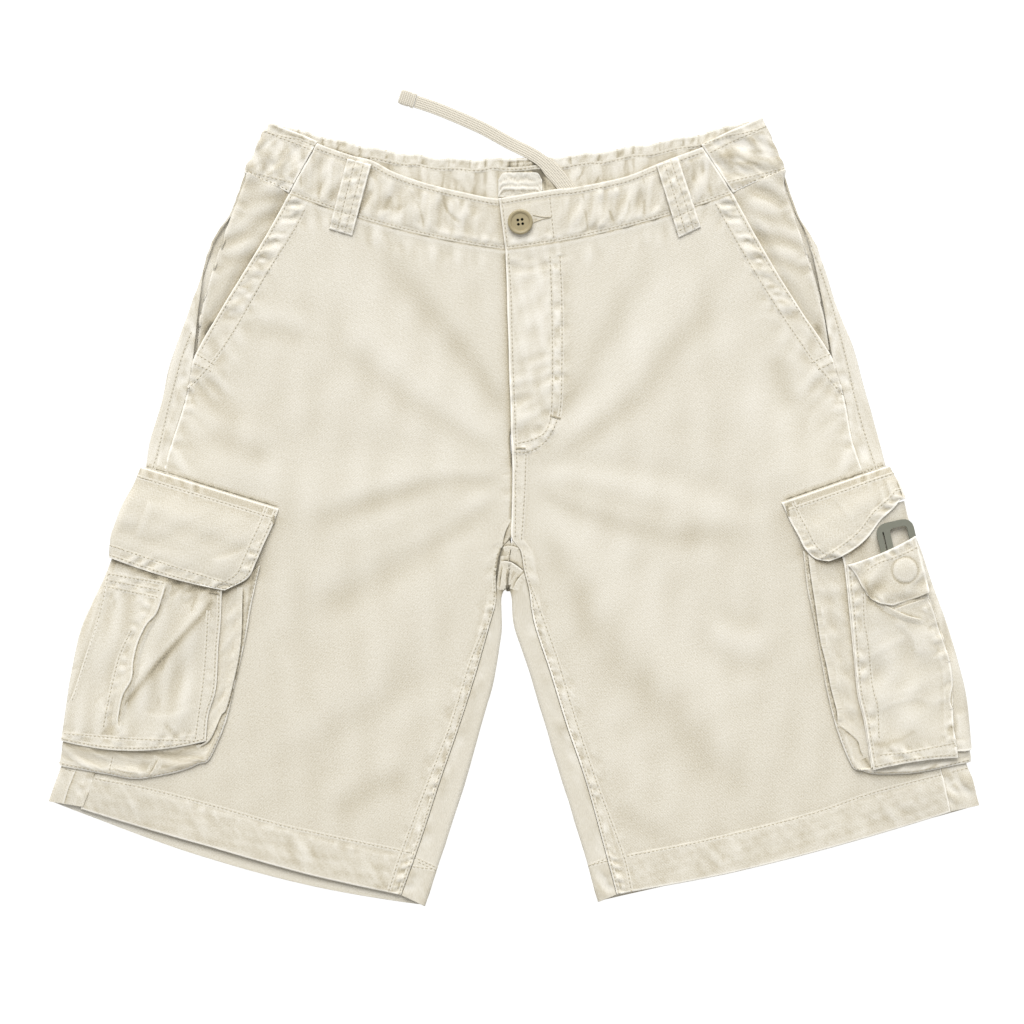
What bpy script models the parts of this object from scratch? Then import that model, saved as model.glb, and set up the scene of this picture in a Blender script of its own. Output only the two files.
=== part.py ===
"""Cargo shorts laid flat on a table, front side up, at their real size.

Every cut piece is its own closed cloth wall. X runs across the shorts, with the
wearer's right at -X, +Y runs towards the waist and Z is the height over the table.
Sizes are millimetres up to the moment a mesh is made, and metres in the meshes.
"""
import math
import bmesh
import bpy
import numpy as np
from mathutils import Matrix, Vector

MM = 0.001
NAME = "cargo_shorts"

# ---- driving sizes, millimetres ---------------------------------------------------
CLOTH = 1.2            # wall of one layer of twill with its seam allowances
BAND = 1.8             # wall of the doubled waistband
SEAM = 0.3             # gap between two pieces that are sewn together
LYING = 5.0            # height of the front cloth over the table
BAND_TOP = 6.2         # height of the front waistband's outer face
FOLD = 2.5             # radius of the cloth where it turns under at the leg's edges
POCKET_UNDER = 3.4     # how far the leg is lifted by the pocket half that lies under it
UNDER_REACH = 37.0     # how far flap and pocket reach in under the leg
STANDOFF = 3.8         # pocket face over the leg cloth
FLAP_ROOM = 1.6        # how much higher the pocket lies where the flap goes in under it
WAVE = 21.0            # length of one gather of the elastic waistband

# ---- the legs: one row for each section from waist to hem ----------------------------
# columns: x, y, turn, lap
# x, y     outermost point of the fold at the leg's edge
# turn     direction in which the edge faces, degrees
# lap      how far the cloth comes back over the top, from that point to its seam;
#          minus FOLD means that the seam lies flat on the table instead
OUTER = {
    "right": (
        (-214, 271, 153, 0), (-222, 241, 146, 0), (-241, 208, 145, 0), (-254, 170, 145, 4),
        (-270, 124, 167, 13.4), (-278, 92, 163, 15), (-288, 58, 163, 14.5), (-296, 28, 163, 14),
        (-306, -1, 163, 17.5), (-313, -27, 163, 18.5), (-322, -51, 163, 21.5), (-331, -73, 163, 25),
        (-339, -94, 163, 28), (-345, -115, 163, 29), (-350, -135, 163, 29.5), (-354, -156, 163, 28.5),
        (-357, -178, 163, 26.5), (-360, -198, 164, 25), (-366, -216, 167, 26.5), (-372, -234, 171, 25.8)),
    "left": (
        (215, 273, 25, 0), (223, 242, 35, 0), (241, 211, 35, 5), (255, 174, 36, 9.5),
        (271, 128, 20, 17), (280, 95, 17, 16.2), (290, 61, 17, 19.8), (299, 29, 17, 18),
        (307, -1, 17, 18), (315, -27, 17, 19), (323, -51, 17, 21), (331, -73, 17, 23),
        (339, -94, 17, 25.5), (346, -115, 17, 27), (351, -135, 17, 27), (356, -156, 17, 26.5),
        (359, -178, 17, 23.7), (361, -198, 16, 20.5), (367, -216, 14, 22), (372, -234, 12, 22.7)),
}
INNER = {
    "right": (
        (-7, 239, 0, -FOLD), (-6, 205, 0, -FOLD), (-5, 165, 0, -FOLD), (-4, 120, 0, -FOLD),
        (-3, 75, 0, -FOLD), (-2, 30, 0, -FOLD), (-2, -10, 0, -FOLD), (-2, -42, -40, -FOLD),
        (-4, -63, -90, 0), (-5, -63, -90, 16), (-5, -63, -94, 40), (-8, -64, -87, 34),
        (-10, -70, -79, 20.5), (-10, -82, -68, 11), (-10, -97, -34, 11), (-15.5, -133, -13, 15),
        (-27, -176, -14, 17), (-40.6, -220, -15, 19), (-55, -265, -15, 19.6), (-71, -314, -25, 21)),
    "left": (
        (-7, 239, -180, -FOLD), (-6, 205, -180, -FOLD), (-5, 165, -180, -FOLD), (-4, 120, -180, -FOLD),
        (-3, 75, -180, -FOLD), (-2, 30, -180, -FOLD), (-2, -10, -180, -FOLD), (-2, -42, -140, -FOLD),
        (-4, -63, -90, 0), (-5, -63, -90, 16), (-5, -63, -94, 40), (-3.5, -64, -105, 33),
        (-2, -70, -113, 25), (-1.5, -79, -134, 19.4), (1, -96, -160, 16), (14, -134, -165, 15.5),
        (26.3, -176, -166, 16.2), (39.6, -220, -165, 18), (54, -267, -165, 16.8), (67, -313, -158, 16.2)),
}
# the front's own edges above the seams, x and y: the slash pocket and the centre front
SLASH = {
    "right": ((-180, 254), (-197, 223), (-217, 190), (-237, 157)),
    "left": ((175, 254), (193, 221), (211, 190), (232, 157)),
}
CENTRE = ((-7, 209), (-6, 185), (-5.5, 160), (-4.5, 135), (-4, 110), (-3, 86), (-2.5, 62),
          (-1.5, 38), (-1.5, 16), (-2, -4), (-2.2, -21))
# how far each row bows towards the hem between its two ends: back, front
BOW = {
    "right": {0: (8, 6), 1: (5, 4), 2: (2, 2), 17: (3, 1), 18: (7, 2), 19: (10.5, 4)},
    "left": {0: (8, 6), 1: (5, 4), 2: (2, 2), 18: (1, 2), 19: (2, 5)},
}
SLASH_ROWS = 4          # rows 0 to 3 end at the slash pocket, the next ones at the side seam
CROTCH_ROW = 10         # the row that ends where the four seams meet
FLY_ROWS = 7            # rows whose right front runs on under the left one
FLY_LAP = 20.0
CROTCH_EASE = 0.45      # more room where four folded pieces meet
EDGE_EASE = 0.4         # more room at a seam that lies in the turn of the cloth

# ---- broad soft folds of the front cloth ----------------------------------------------
# columns: x0, y0, x1, y1, half width, height
SOFT_FOLDS = (
    (-112, 232, -60, 170, 16, -1.2), (-60, 170, -18, 90, 22, -0.9),
    (132, 226, 100, 175, 14, -0.9), (153, 184, 106, 115, 18, -1.1), (106, 115, 30, 40, 22, -0.8),
    (-60, 20, -14, 29, 9, -1.0), (-54, -17, -14, 10, 9, -1.0), (55, 0, 14, 22, 9, -1.0),
    (69, 62, 14, 44, 9, -0.9), (-14, -40, -150, -150, 22, 0.9), (-40, -20, -190, -40, 14, 0.8),
    (20, -40, 160, -150, 22, 0.9), (30, -15, 200, -20, 14, 0.8), (-30, -90, -120, -230, 20, -0.8),
    (40, -100, 120, -230, 20, -0.8),
)
FOLD_LIMIT = 1.25       # the layers lie on each other, so no fold stands higher

# ---- cargo pockets: one row for each section from the mouth to the bottom ---------------
# columns: x and y of the edge towards the front, x and y of the outermost point, bow
POCKET_FACE = {
    "right": ((-231, -44, -319.5, -33, 0), (-234, -65, -328, -54, 1), (-235, -87, -338, -75, 2),
              (-237, -109, -347, -97, 3), (-239, -142, -354.5, -132, 3), (-245, -163, -358.5, -158, 4),
              (-247, -184, -362, -183, 7)),
    "left": ((257, -24, 312, 8, 0), (263, -38, 316, -8, 0), (266, -59, 325, -30, 2),
             (269, -88, 335, -60, 3), (272, -117, 346, -90, 3), (275, -147, 355, -120, 3),
             (280, -168, 362, -150, 3), (286, -205, 366, -190, -3)),
}
FLAP = {
    "right": ((-189, -1, -299.5, 33, 0), (-194, -14, -304, 22, 0), (-200, -27, -310, 11, 0),
              (-206, -41, -316, -4, 0), (-213, -54, -322, -19, 1), (-230, -63, -323.5, -36, 2)),
    "left": ((215, 4, 301.5, 34, 0), (221, -9, 304, 29, 1), (227, -20, 307, 24, 2),
             (232, -30, 309.5, 18, 4), (240, -38, 311, 14, 5), (250, -40, 312.5, 11, 8)),
}
# where the bellows are sewn to the leg: the front stretch, then the bottom one
ATTACH_FRONT = {
    "right": ((-203, -44), (-208, -65), (-212, -87), (-216, -109), (-225, -146), (-232, -174), (-243, -198)),
    "left": ((231, -32), (232, -45), (235, -66), (241, -94), (246, -123), (252, -153), (258, -175), (270, -204)),
}
ATTACH_BOTTOM = {
    "right": ((-266, -208), (-300, -214), (-322, -211), (-363.5, -203)),
    "left": ((286, -210), (313, -210), (328, -208), (365.5, -200)),
}


def smoothstep(value):
    value = np.clip(value, 0.0, 1.0)
    return value * value * (3 - 2 * value)


def unit(degrees):
    return np.array((math.cos(math.radians(degrees)), math.sin(math.radians(degrees))))


def curve_through(points, fractions):
    """Points at the given fractions of a smooth curve through the listed ones."""
    points = np.array(points, float)
    padded = np.vstack([2 * points[0] - points[1], points, 2 * points[-1] - points[-2]])
    fine = []
    for start, here, there, after in zip(padded, padded[1:], padded[2:], padded[3:]):
        for t in np.linspace(0, 1, 13)[:-1]:
            fine.append(0.5 * (2 * here + (there - start) * t
                               + (2 * start - 5 * here + 4 * there - after) * t ** 2
                               + (3 * here - start - 3 * there + after) * t ** 3))
    fine = np.array(fine + [points[-1]])
    run = np.concatenate([[0], np.cumsum(np.linalg.norm(np.diff(fine, axis=0), axis=1))])
    at = np.asarray(fractions) * run[-1]
    return np.stack([np.interp(at, run, fine[:, k]) for k in range(fine.shape[1])], axis=1)


def outer_edge_x(side, y):
    rows = np.array(OUTER[side])[::-1]
    return np.interp(y, rows[:, 1], rows[:, 0])


def lift(side, x, y):
    """How far the leg is raised by the pocket and flap that reach in under it."""
    along = smoothstep((72 - y) / 38) * (1 - smoothstep((-216 - y) / 60))
    inside = np.abs(outer_edge_x(side, y) - x)
    return POCKET_UNDER * along * (1 - smoothstep((inside - 44) / 66))


def soft_folds(x, y):
    """Height of the broad folds of the front cloth."""
    total = np.zeros_like(x, dtype=float)
    for x0, y0, x1, y1, half_width, height in SOFT_FOLDS:
        along = np.array((x1 - x0, y1 - y0), float)
        length = np.linalg.norm(along)
        t = ((x - x0) * along[0] + (y - y0) * along[1]) / length ** 2
        across = ((x - x0) * along[1] - (y - y0) * along[0]) / length
        ends = smoothstep((t + 0.25) / 0.5) * smoothstep((1.25 - t) / 0.5)
        total += height * ends * np.exp(-(across / half_width) ** 2)
    return FOLD_LIMIT * np.tanh(total / FOLD_LIMIT)


def leg_top(side, x, y):
    """Outer face of the leg's upper side."""
    return LYING + lift(side, x, y)


def unrolled_length(lap, radius):
    """Length of cloth beyond the point where it leaves the table, for a lap on the top."""
    if lap >= radius:
        return math.pi * radius + lap - radius
    if lap >= 0:
        return radius * (math.pi / 2 + math.acos(1 - lap / radius))
    return max(0.0, math.pi / 2 * (radius + lap))


def round_the_edge(edge, outwards, radius, low, high, run):
    """Point at the unrolled length `run` past where the cloth leaves its lower level."""
    full = math.pi * radius
    level = edge - radius * outwards
    if run <= 0:
        return np.array((*(level + run * outwards), low))
    if run >= full:
        return np.array((*(level - (run - full) * outwards), high))
    angle = run / radius
    plan = level + radius * math.sin(angle) * outwards
    return np.array((*plan, low + (high - low) * (1 - math.cos(angle)) / 2))


def wrap_runs(reach, radius, flat):
    """Unrolled lengths from `flat` before the turn to `reach` past it, closest in the turn."""
    full = math.pi * radius
    stops = np.array((-flat, -0.4 * flat, 0, 0.25 * full, 0.5 * full, 0.75 * full, full,
                      full + 0.45 * max(reach - full, 3.0), full + max(reach - full, 3.0)))
    return -flat + (stops + flat) * (reach + flat) / (stops[-1] + flat)


# ---- meshes ---------------------------------------------------------------------------
def material(name, colour, roughness, metallic=0.0):
    made = bpy.data.materials.new(name)
    made.use_nodes = True
    shader = made.node_tree.nodes["Principled BSDF"]
    shader.inputs["Base Color"].default_value = (*colour, 1)
    shader.inputs["Roughness"].default_value = roughness
    shader.inputs["Metallic"].default_value = metallic
    return made


def keep(mesh_object, collection, finish):
    for old in list(mesh_object.users_collection):
        old.objects.unlink(mesh_object)
    collection.objects.link(mesh_object)
    mesh_object.data.materials.clear()
    mesh_object.data.materials.append(finish)
    return mesh_object


def cloth(name, grid, wall, collection, finish, upwards=(0.5, 0.5), faces="up"):
    """A grid of outer points in millimetres, given its thickness on the inner side.

    `upwards` names a place in the grid, as fractions, where the outer face looks `faces`.
    """
    grid = np.asarray(grid, float) * MM
    rows, columns = grid.shape[:2]
    shape = bmesh.new()
    bmesh.ops.create_grid(shape, x_segments=columns - 1, y_segments=rows - 1, size=1.0)
    shape.verts.ensure_lookup_table()
    for index, vertex in enumerate(shape.verts):
        vertex.co = grid[index // columns, index % columns]
    shape.normal_update()
    probe = grid[int(upwards[0] * (rows - 1)), int(upwards[1] * (columns - 1))]
    near = min(shape.faces, key=lambda face: (face.calc_center_median() - Vector(probe)).length)
    wanted = 1 if faces == "up" else -1
    if near.normal.z * wanted < 0:
        bmesh.ops.reverse_faces(shape, faces=shape.faces[:])
    mesh = bpy.data.meshes.new(name)
    shape.to_mesh(mesh)
    shape.free()
    mesh.shade_smooth()
    made = bpy.data.objects.new(name, mesh)
    bpy.context.scene.collection.objects.link(made)
    solid = made.modifiers.new("wall", "SOLIDIFY")
    solid.thickness = wall * MM
    solid.offset = -1
    solid.use_quality_normals = True
    return keep(made, collection, finish)


# ---- legs -----------------------------------------------------------------------------
def edge_reach(row):
    """Fold point, direction, fold radius and unrolled length to the seam of a table row."""
    x, y, turn, lap = row
    reach = unrolled_length(lap, FOLD)
    radius = min(FOLD, reach * 2 / math.pi) if reach > 0 else 1e-6
    return np.array((x, y), float), unit(turn), radius, reach


def outer_point(side, k, run_past_seam):
    edge, outwards, radius, reach = edge_reach(OUTER[side][k])
    low = float(lift(side, *edge))
    return round_the_edge(edge, outwards, radius, low, low + LYING, reach + run_past_seam)


def inner_point(side, k, run_past_seam):
    edge, outwards, radius, reach = edge_reach(INNER[side][k])
    return round_the_edge(edge, outwards, radius, 0.0, LYING, reach + run_past_seam)


def sign(side):
    return -1 if side == "right" else 1


def bowed(start, end, bow, fractions):
    """Plan points from start to end, bowed towards the hem by `bow` in the middle."""
    t = np.asarray(fractions, float)[:, None]
    line = np.array(start)[None, :2] * (1 - t) + np.array(end)[None, :2] * t
    line[:, 1] -= bow * 4 * (t * (1 - t))[:, 0]
    return line


def back_line(side, k, fractions):
    """The flat stretch of a back row, from the outer turn to the inner one."""
    edge, outwards, radius, _ = edge_reach(OUTER[side][k])
    inner, inwards, inner_radius, _ = edge_reach(INNER[side][k])
    start = edge - radius * outwards
    end = inner - inner_radius * inwards
    return bowed(start, end, BOW[side].get(k, (0, 0))[0], fractions)


def back_panel(side):
    grid = []
    for k in range(len(OUTER[side])):
        edge, outwards, radius, reach = edge_reach(OUTER[side][k])
        low = float(lift(side, *edge))
        row = [round_the_edge(edge, outwards, radius, low, low + LYING, run)
               for run in wrap_runs(reach - SEAM / 2 - EDGE_EASE * (k < 3), FOLD, 0.0)[:2:-1]]
        flat = np.concatenate([[0.0], np.linspace(0.06, 0.4, 6), np.linspace(0.52, 0.94, 5)])
        for x, y in back_line(side, k, flat):
            row.append(np.array((x, y, float(lift(side, x, y)))))
        edge, outwards, radius, reach = edge_reach(INNER[side][k])
        line = back_line(side, k, (0.94, 1.0))
        approach = (line[1] - line[0]) / np.linalg.norm(line[1] - line[0])
        for run in wrap_runs(reach - SEAM / 2, FOLD, 11.0):
            if run < 0:
                row.append(np.array((*(line[1] + run * approach), 0.0)))
            else:
                row.append(round_the_edge(edge, outwards, radius, 0.0, LYING, run))
        row = np.array(row)
        if k <= CROTCH_ROW:
            near = smoothstep((row[:, 0] * sign(side) * -1 + 30) / 25)
            row[:, 0] += sign(side) * (SEAM / 2 + CROTCH_EASE * smoothstep((k - 5) / 2)) * near
        grid.append(row)
    return np.array(grid)


def front_panel(side, columns=21):
    grid = []
    rows = len(OUTER[side])
    for k in range(rows):
        start = SLASH[side][k] if k < SLASH_ROWS else outer_point(side, k, SEAM / 2)[:2]
        end = np.array(CENTRE[k] if k <= CROTCH_ROW else inner_point(side, k, SEAM * 1.2)[:2], float)
        last = 1.0
        if side == "right" and k < FLY_ROWS:
            run_on = FLY_LAP * (1 - smoothstep((k - FLY_ROWS + 3) / 2))
            last += run_on / abs(end[0] - start[0])
        fractions = np.linspace(0, 1, columns) * last
        row = bowed(start, end, BOW[side].get(k, (0, 0))[1], fractions)
        if k <= CROTCH_ROW:
            row[:, 0] += sign(side) * SEAM / 2 * smoothstep((fractions - 0.9) / 0.1)
        x, y = row[:, 0], row[:, 1]
        fade = smoothstep(fractions / 0.12) * smoothstep((1 - fractions) / 0.08)
        z = leg_top(side, x, y) + soft_folds(x, y) * fade
        centre_x = end[0]
        if k < FLY_ROWS + 1:
            flat = 1 - smoothstep((k - FLY_ROWS + 1) / 2.0)
            if side == "right":
                z = z - 0.95 * flat * smoothstep((x - centre_x + 8) / 7)
            else:
                z = z + 0.6 * flat * (1 - smoothstep((x - centre_x - 36) / 8))
        grid.append(np.stack([x, y, z], axis=1))
    return np.array(grid)


def pocket_facing(side):
    """The cloth that shows behind the slash edge, sewn to the back at the side."""
    stations = (0, 0.5, 1, 1.5, 2, 2.5, 3, 3.35, 3.7)
    grid = []
    for station in stations:
        k = min(int(station), SLASH_ROWS - 1)
        blend = station - k
        rows = []
        for j in (k, k + 1):
            edge, outwards, radius, reach = edge_reach(OUTER[side][j])
            low = float(lift(side, *edge))
            slash = np.array(SLASH[side][j] if j < SLASH_ROWS else outer_point(side, j, 0)[:2], float)
            seam = round_the_edge(edge, outwards, radius, low, low + LYING, reach)
            visible = np.linalg.norm(slash - seam[:2])
            full = math.pi * FOLD
            runs = [reach + SEAM + EDGE_EASE + (max(full - reach, 0.6)) * t for t in (0, 0.33, 0.66, 1.0)]
            inner_end = runs[-1] + visible + 13
            runs += list(np.linspace(runs[-1], inner_end, 9)[1:])
            points = [round_the_edge(edge, outwards, radius, low, low + LYING, run) for run in runs]
            rows.append((np.array(points), slash))
        points = rows[0][0] * (1 - blend) + rows[1][0] * blend
        slash = rows[0][1] * (1 - blend) + rows[1][1] * blend
        past = (points[:, 0] - slash[0]) * -sign(side)
        points[:, 2] -= 1.6 * smoothstep((past + 7) / 6)
        grid.append(points)
    return np.array(grid)


# ---- waistband ------------------------------------------------------------------------
BAND_FRONT_TOP = {
    "right": ((-158, 294), (-132, 285), (-113, 280), (-96, 271), (-70, 262), (-41, 255), (-12, 250)),
    "left": ((151, 291), (126, 282), (111, 276), (88, 267), (50, 259), (31, 257), (-12, 250)),
}
BAND_BACK_TOP = ((-194, 310), (-156, 299), (-112, 289), (-76, 283), (-41, 280), (-6, 281),
                 (33, 282), (62, 285), (111, 293), (142, 299), (180, 309), (196, 314))
BAND_CORNER = {"right": (-194, 310), "left": (196, 314)}
BAND_ROWS = 5
BUTTON = (5.0, 231.0)
BUTTON_ACROSS = 20.2
BUTTON_THICK = 3.0


def gathers(x, y, calm=34.0):
    """Height of the elastic's gathers, which stop before the button."""
    run = np.abs(x) + 0.35 * (y - 240)
    size = 0.42 * smoothstep((np.abs(x - BUTTON[0]) - calm) / 22)
    return size * np.sin(2 * math.pi * run / WAVE + 0.8 * np.sin(run / 37))


def band_front(side, columns=33):
    start, end = SLASH[side][0], CENTRE[0]
    lap = 0.0
    if side == "right":
        lap = 34.0 / abs(end[0] - start[0])
    fractions = np.linspace(0, 1, columns)
    low = bowed(start, end, BOW[side][0][1], fractions * (1 + lap))
    low[:, 1] += SEAM + 0.05
    top = curve_through(BAND_FRONT_TOP[side], fractions)
    if side == "right":
        top = curve_through(BAND_FRONT_TOP[side] + ((18, 254),), fractions)
    low[0] += (-sign(side) * SEAM, 0)
    top[0] += (-sign(side) * SEAM, 0)
    grid = []
    for t in np.linspace(0, 1, BAND_ROWS):
        row = low * (1 - t) + top * t
        x, y = row[:, 0], row[:, 1]
        z = BAND_TOP + gathers(x, y) * (1 - 0.5 * t)
        if side == "right":
            edge_x = -7 - 5 * t
            z = z - 2.25 * smoothstep((x - edge_x + 8) / 6.5)
        grid.append(np.stack([x, y, z], axis=1))
    return np.array(grid)


def band_back():
    """The elastic back of the waistband, wrapped round both sides to its joins."""
    under = np.linspace(0, 1, 17)
    low_right = back_line("right", 0, under)
    low_left = back_line("left", 0, under)[::-1]
    low = np.concatenate([low_right, low_left[1:]])
    low[:, 1] += SEAM + 0.05
    run = np.concatenate([[0], np.cumsum(np.linalg.norm(np.diff(low, axis=0), axis=1))])
    top = curve_through(BAND_BACK_TOP, run / run[-1])
    turned = {}
    for side in ("right", "left"):
        join_low = np.array(SLASH[side][0], float) + (0, SEAM + 0.05)
        join_top = np.array(BAND_FRONT_TOP[side][0], float)
        edge_low = np.array(OUTER[side][0][:2], float) + (0, SEAM + 0.05)
        turned[side] = (join_low, join_top, edge_low, np.array(BAND_CORNER[side], float))
    grid = []
    for t in np.linspace(0, 1, BAND_ROWS):
        middle = low * (1 - t) + top * t
        crimp = 0.9 * t * np.sin(2 * math.pi * run / WAVE)
        middle[:, 1] += crimp * smoothstep(run / 40) * smoothstep((run[-1] - run) / 40)
        ends = {}
        for side in ("right", "left"):
            join_low, join_top, edge_low, corner = turned[side]
            join = join_low * (1 - t) + join_top * t
            edge = edge_low * (1 - t) + corner * t
            outwards = (edge - join) / np.linalg.norm(edge - join)
            radius = FOLD
            reach = math.pi * radius + np.linalg.norm(edge - join) - radius - SEAM / 2
            full = math.pi * radius
            runs = list(np.linspace(0, full, 5)) + list(np.linspace(full, reach, 5)[1:])
            points = [round_the_edge(edge, outwards, radius, 0.0, BAND_TOP, run_here) for run_here in runs]
            ends[side] = np.array(points)
        # the flat stretch starts where the turns leave the table
        first, final = ends["right"][0][:2], ends["left"][0][:2]
        share = (run / run[-1])[:, None]
        shift = (first - middle[0]) * (1 - share) ** 6 + (final - middle[-1]) * share ** 6
        middle = middle + shift
        flat = np.column_stack([middle, np.zeros(len(middle))])
        row = np.concatenate([ends["right"][::-1], flat[1:-1], ends["left"]])
        grid.append(row)
    return np.array(grid)


# columns: corners at the top left, top right, low left and low right
BELT_LOOPS = {
    "right": ((-134.5, 282), (-114, 277), (-149, 226), (-129.5, 220)),
    "left": ((112.5, 276), (131, 282.5), (130.5, 218), (149.5, 227)),
}
# height of the belt loop along its length, from the top edge down
LOOP_HEIGHTS = ((0.0, 8.0), (0.12, 8.5), (0.4, 8.9), (0.62, 8.6), (0.74, 8.3), (0.84, 7.7), (1.0, 6.6))


def belt_loop(side):
    top_left, top_right, low_left, low_right = np.array(BELT_LOOPS[side], float)
    grid = []
    for t, height in LOOP_HEIGHTS:
        left = top_left * (1 - t) + low_left * t
        right = top_right * (1 - t) + low_right * t
        row = []
        for s in np.linspace(0, 1, 5):
            crown = 0.25 * (1 - (2 * s - 1) ** 2)
            row.append((*(left * (1 - s) + right * s), height + crown))
        grid.append(row)
    return np.array(grid)


# ---- cargo pockets --------------------------------------------------------------------
def leg_turn(side):
    return unit(163 if side == "right" else 17)


def wrapped_section(side, front, edge, bow, heights, low, fractions, reach, radius=5.0):
    """A section that lies on the leg, turns round its edge and goes in under it."""
    outwards = leg_turn(side)
    front = np.array(front, float)
    edge = np.array(edge, float)
    level = edge - radius * outwards
    plan = bowed(front, level, bow, fractions)
    row = [np.array((x, y, heights(x, y, t))) for (x, y), t in zip(plan, fractions)]
    high = row[-1][2]
    full = math.pi * radius
    row += [round_the_edge(edge, outwards, radius, low, high, full * t) for t in (0.8, 0.6, 0.4, 0.2, 0)]
    row += [round_the_edge(edge, outwards, radius, low, high, -reach * t) for t in (0.35, 0.7, 1.0)]
    return row


STRIP_EDGE = {"right": (0.51, 0.49, 0.53, 0.57, 0.606, 0.634, 0.617)}


def face_fractions(side, k):
    """Columns of the pocket face; two of them stand at the edge of the centre strip."""
    if side == "right":
        strip = STRIP_EDGE[side][k]
        return np.concatenate([np.linspace(0, strip - 0.02, 7), np.linspace(strip, 1, 6)])
    return np.linspace(0, 1, 13)


def face_height(side, k, t):
    """Pocket face over the leg, away from its seams."""
    rise = STANDOFF
    if side == "right":
        strip = STRIP_EDGE[side][k]
        step = 0.7 if k < 2 else 1.0
        rise += step * (t >= strip - 0.001) * (1 - smoothstep((t - strip) / (1.0 - strip)))
        rise += 0.5 * math.sin(math.pi * min(t / strip, 1.0)) * (k > 1)
    else:
        rise += 0.5 * math.sin(math.pi * t)
    return rise - 0.3 * (1 - smoothstep(t / 0.08))


def pocket_face(side):
    grid = []
    for k, (fx, fy, ex, ey, bow) in enumerate(POCKET_FACE[side]):
        under_flap = k == 0 or (side == "left" and k == 1)
        low = FLAP_ROOM if under_flap else 0.0
        sunk = 0.4 if side == "left" and under_flap else 0.0

        def heights(x, y, t, k=k, sunk=sunk):
            return float(leg_top(side, x, y)) + face_height(side, k, t) - sunk
        fractions = face_fractions(side, k)
        grid.append(wrapped_section(side, (fx, fy), (ex, ey), bow, heights, low, fractions, UNDER_REACH))
    return np.array(grid)


FLAP_RISE = {"right": (1.6, 4.0, 5.6, 6.3, 6.4, 6.3), "left": (1.6, 3.2, 4.7, 5.6, 6.0, 6.0)}


def pocket_flap(side):
    """The flap: flat on the leg along its seam, over the pocket's mouth below."""
    grid = []
    for k, (fx, fy, ex, ey, bow) in enumerate(FLAP[side]):
        rise = FLAP_RISE[side][k]

        def heights(x, y, t, rise=rise, k=k):
            front_drop = 1.4 * (1 - smoothstep(t / 0.2)) * (k > 0)
            return float(leg_top(side, x, y)) + rise - front_drop
        fractions = np.linspace(0, 1, 12)
        grid.append(wrapped_section(side, (fx, fy), (ex, ey), bow, heights, 0.0, fractions, UNDER_REACH,
                                    radius=5.5))
    return np.array(grid)


def bellows(side, face_grid):
    """The gusset between the pocket face and the leg, folded once along its length."""
    outwards = leg_turn(side)
    front_edge = [face_grid[k][0] for k in range(1, len(face_grid))]
    bottom_edge = list(face_grid[-1][1:])
    inner = np.array(front_edge + bottom_edge)
    attach_plan = curve_through(ATTACH_FRONT[side], np.linspace(0, 1, len(front_edge)))
    outer = [np.array((x, y, float(leg_top(side, x, y)) + SEAM + CLOTH)) for x, y in attach_plan]
    top_count = len(face_fractions(side, len(face_grid) - 1))
    edge = np.array(ATTACH_BOTTOM[side][-1], float)
    radius = 4.0
    route = [attach_plan[-1], *ATTACH_BOTTOM[side][:-1], edge - radius * outwards]
    plan = curve_through(route, np.linspace(0, 1, top_count))
    for x, y in plan[1:]:
        outer.append(np.array((x, y, float(leg_top(side, x, y)) + SEAM + CLOTH)))
    high = outer[-1][2]
    low = float(lift(side, *edge)) - SEAM - CLOTH
    full = math.pi * radius
    angles = np.array((0.8, 0.6, 0.4, 0.2, 0.0))
    outer += [round_the_edge(edge, outwards, radius, low, high, full * t) for t in angles]
    outer += [round_the_edge(edge, outwards, radius, low, high, -UNDER_REACH * t) for t in (0.35, 0.7, 1.0)]
    outer = np.array(outer)
    # the inner edge is tucked against the inside of the pocket face
    count = len(front_edge) + top_count - 1
    facing = np.zeros_like(inner)
    facing[:count, 2] = 1.0
    for j, t in enumerate(angles):
        facing[count + j, :2] = outwards * math.sin(math.pi * t)
        facing[count + j, 2] = -math.cos(math.pi * t)
    facing[count + len(angles):, 2] = -1.0
    inner_edge = inner - facing * (CLOTH + SEAM + 0.1)
    on_top = np.ones(len(outer))
    on_top[count:] = 0.0
    on_top[count - 3:count] = (0.8, 0.5, 0.2)
    grid = []
    for t, bump in ((0.0, 0.0), (0.25, 0.0), (0.5, 0.1), (0.76, 1.3), (0.9, 1.0), (1.0, 0.0)):
        row = inner_edge * (1 - t) + outer * t
        row[:, 2] += bump * on_top
        grid.append(row)
    return np.array(grid)


# ---- phone pocket on the wearer's left cargo pocket ------------------------------------
# one row for each section from its mouth down: front edge, side edge
PHONE_POCKET = ((265.5, -43, 319, -20, 2), (267, -59, 327, -47, 2), (269.5, -80, 330, -67, 2),
                (271.5, -103, 338, -87, 2), (273.5, -127, 345, -110, 2), (276, -148, 349.5, -132, 2),
                (280.5, -166, 350, -152, 1), (283, -182, 350.5, -170, 0), (286.5, -203, 353.5, -193, -2))
CUFF = ((265.5, -43, 319.5, -20, 2), (269, -47, 322, -30, 3), (273, -53, 325, -42, 5),
        (277, -60, 328.5, -54, 9), (281, -66, 330.5, -64, 14))
BUMP = (311.0, -47.0)
BUMP_RADIUS = 10.4
CLIP_THICK = 3.2
CLIP_SEAT = 0.35
MOUTH_ROOM = 2 * CLIP_SEAT + CLIP_THICK + CLOTH
# how far the phone pocket stands off the face, by the height of its row at the front edge
PHONE_RISE = ((-210, 1.6), (-166, 1.7), (-148, 2.0), (-127, 2.6), (-103, 3.6), (-84, MOUTH_ROOM))


def face_top(x, y):
    """Outer face of the left cargo pocket under the phone pocket."""
    return float(leg_top("left", x, y)) + STANDOFF + 0.55


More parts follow.
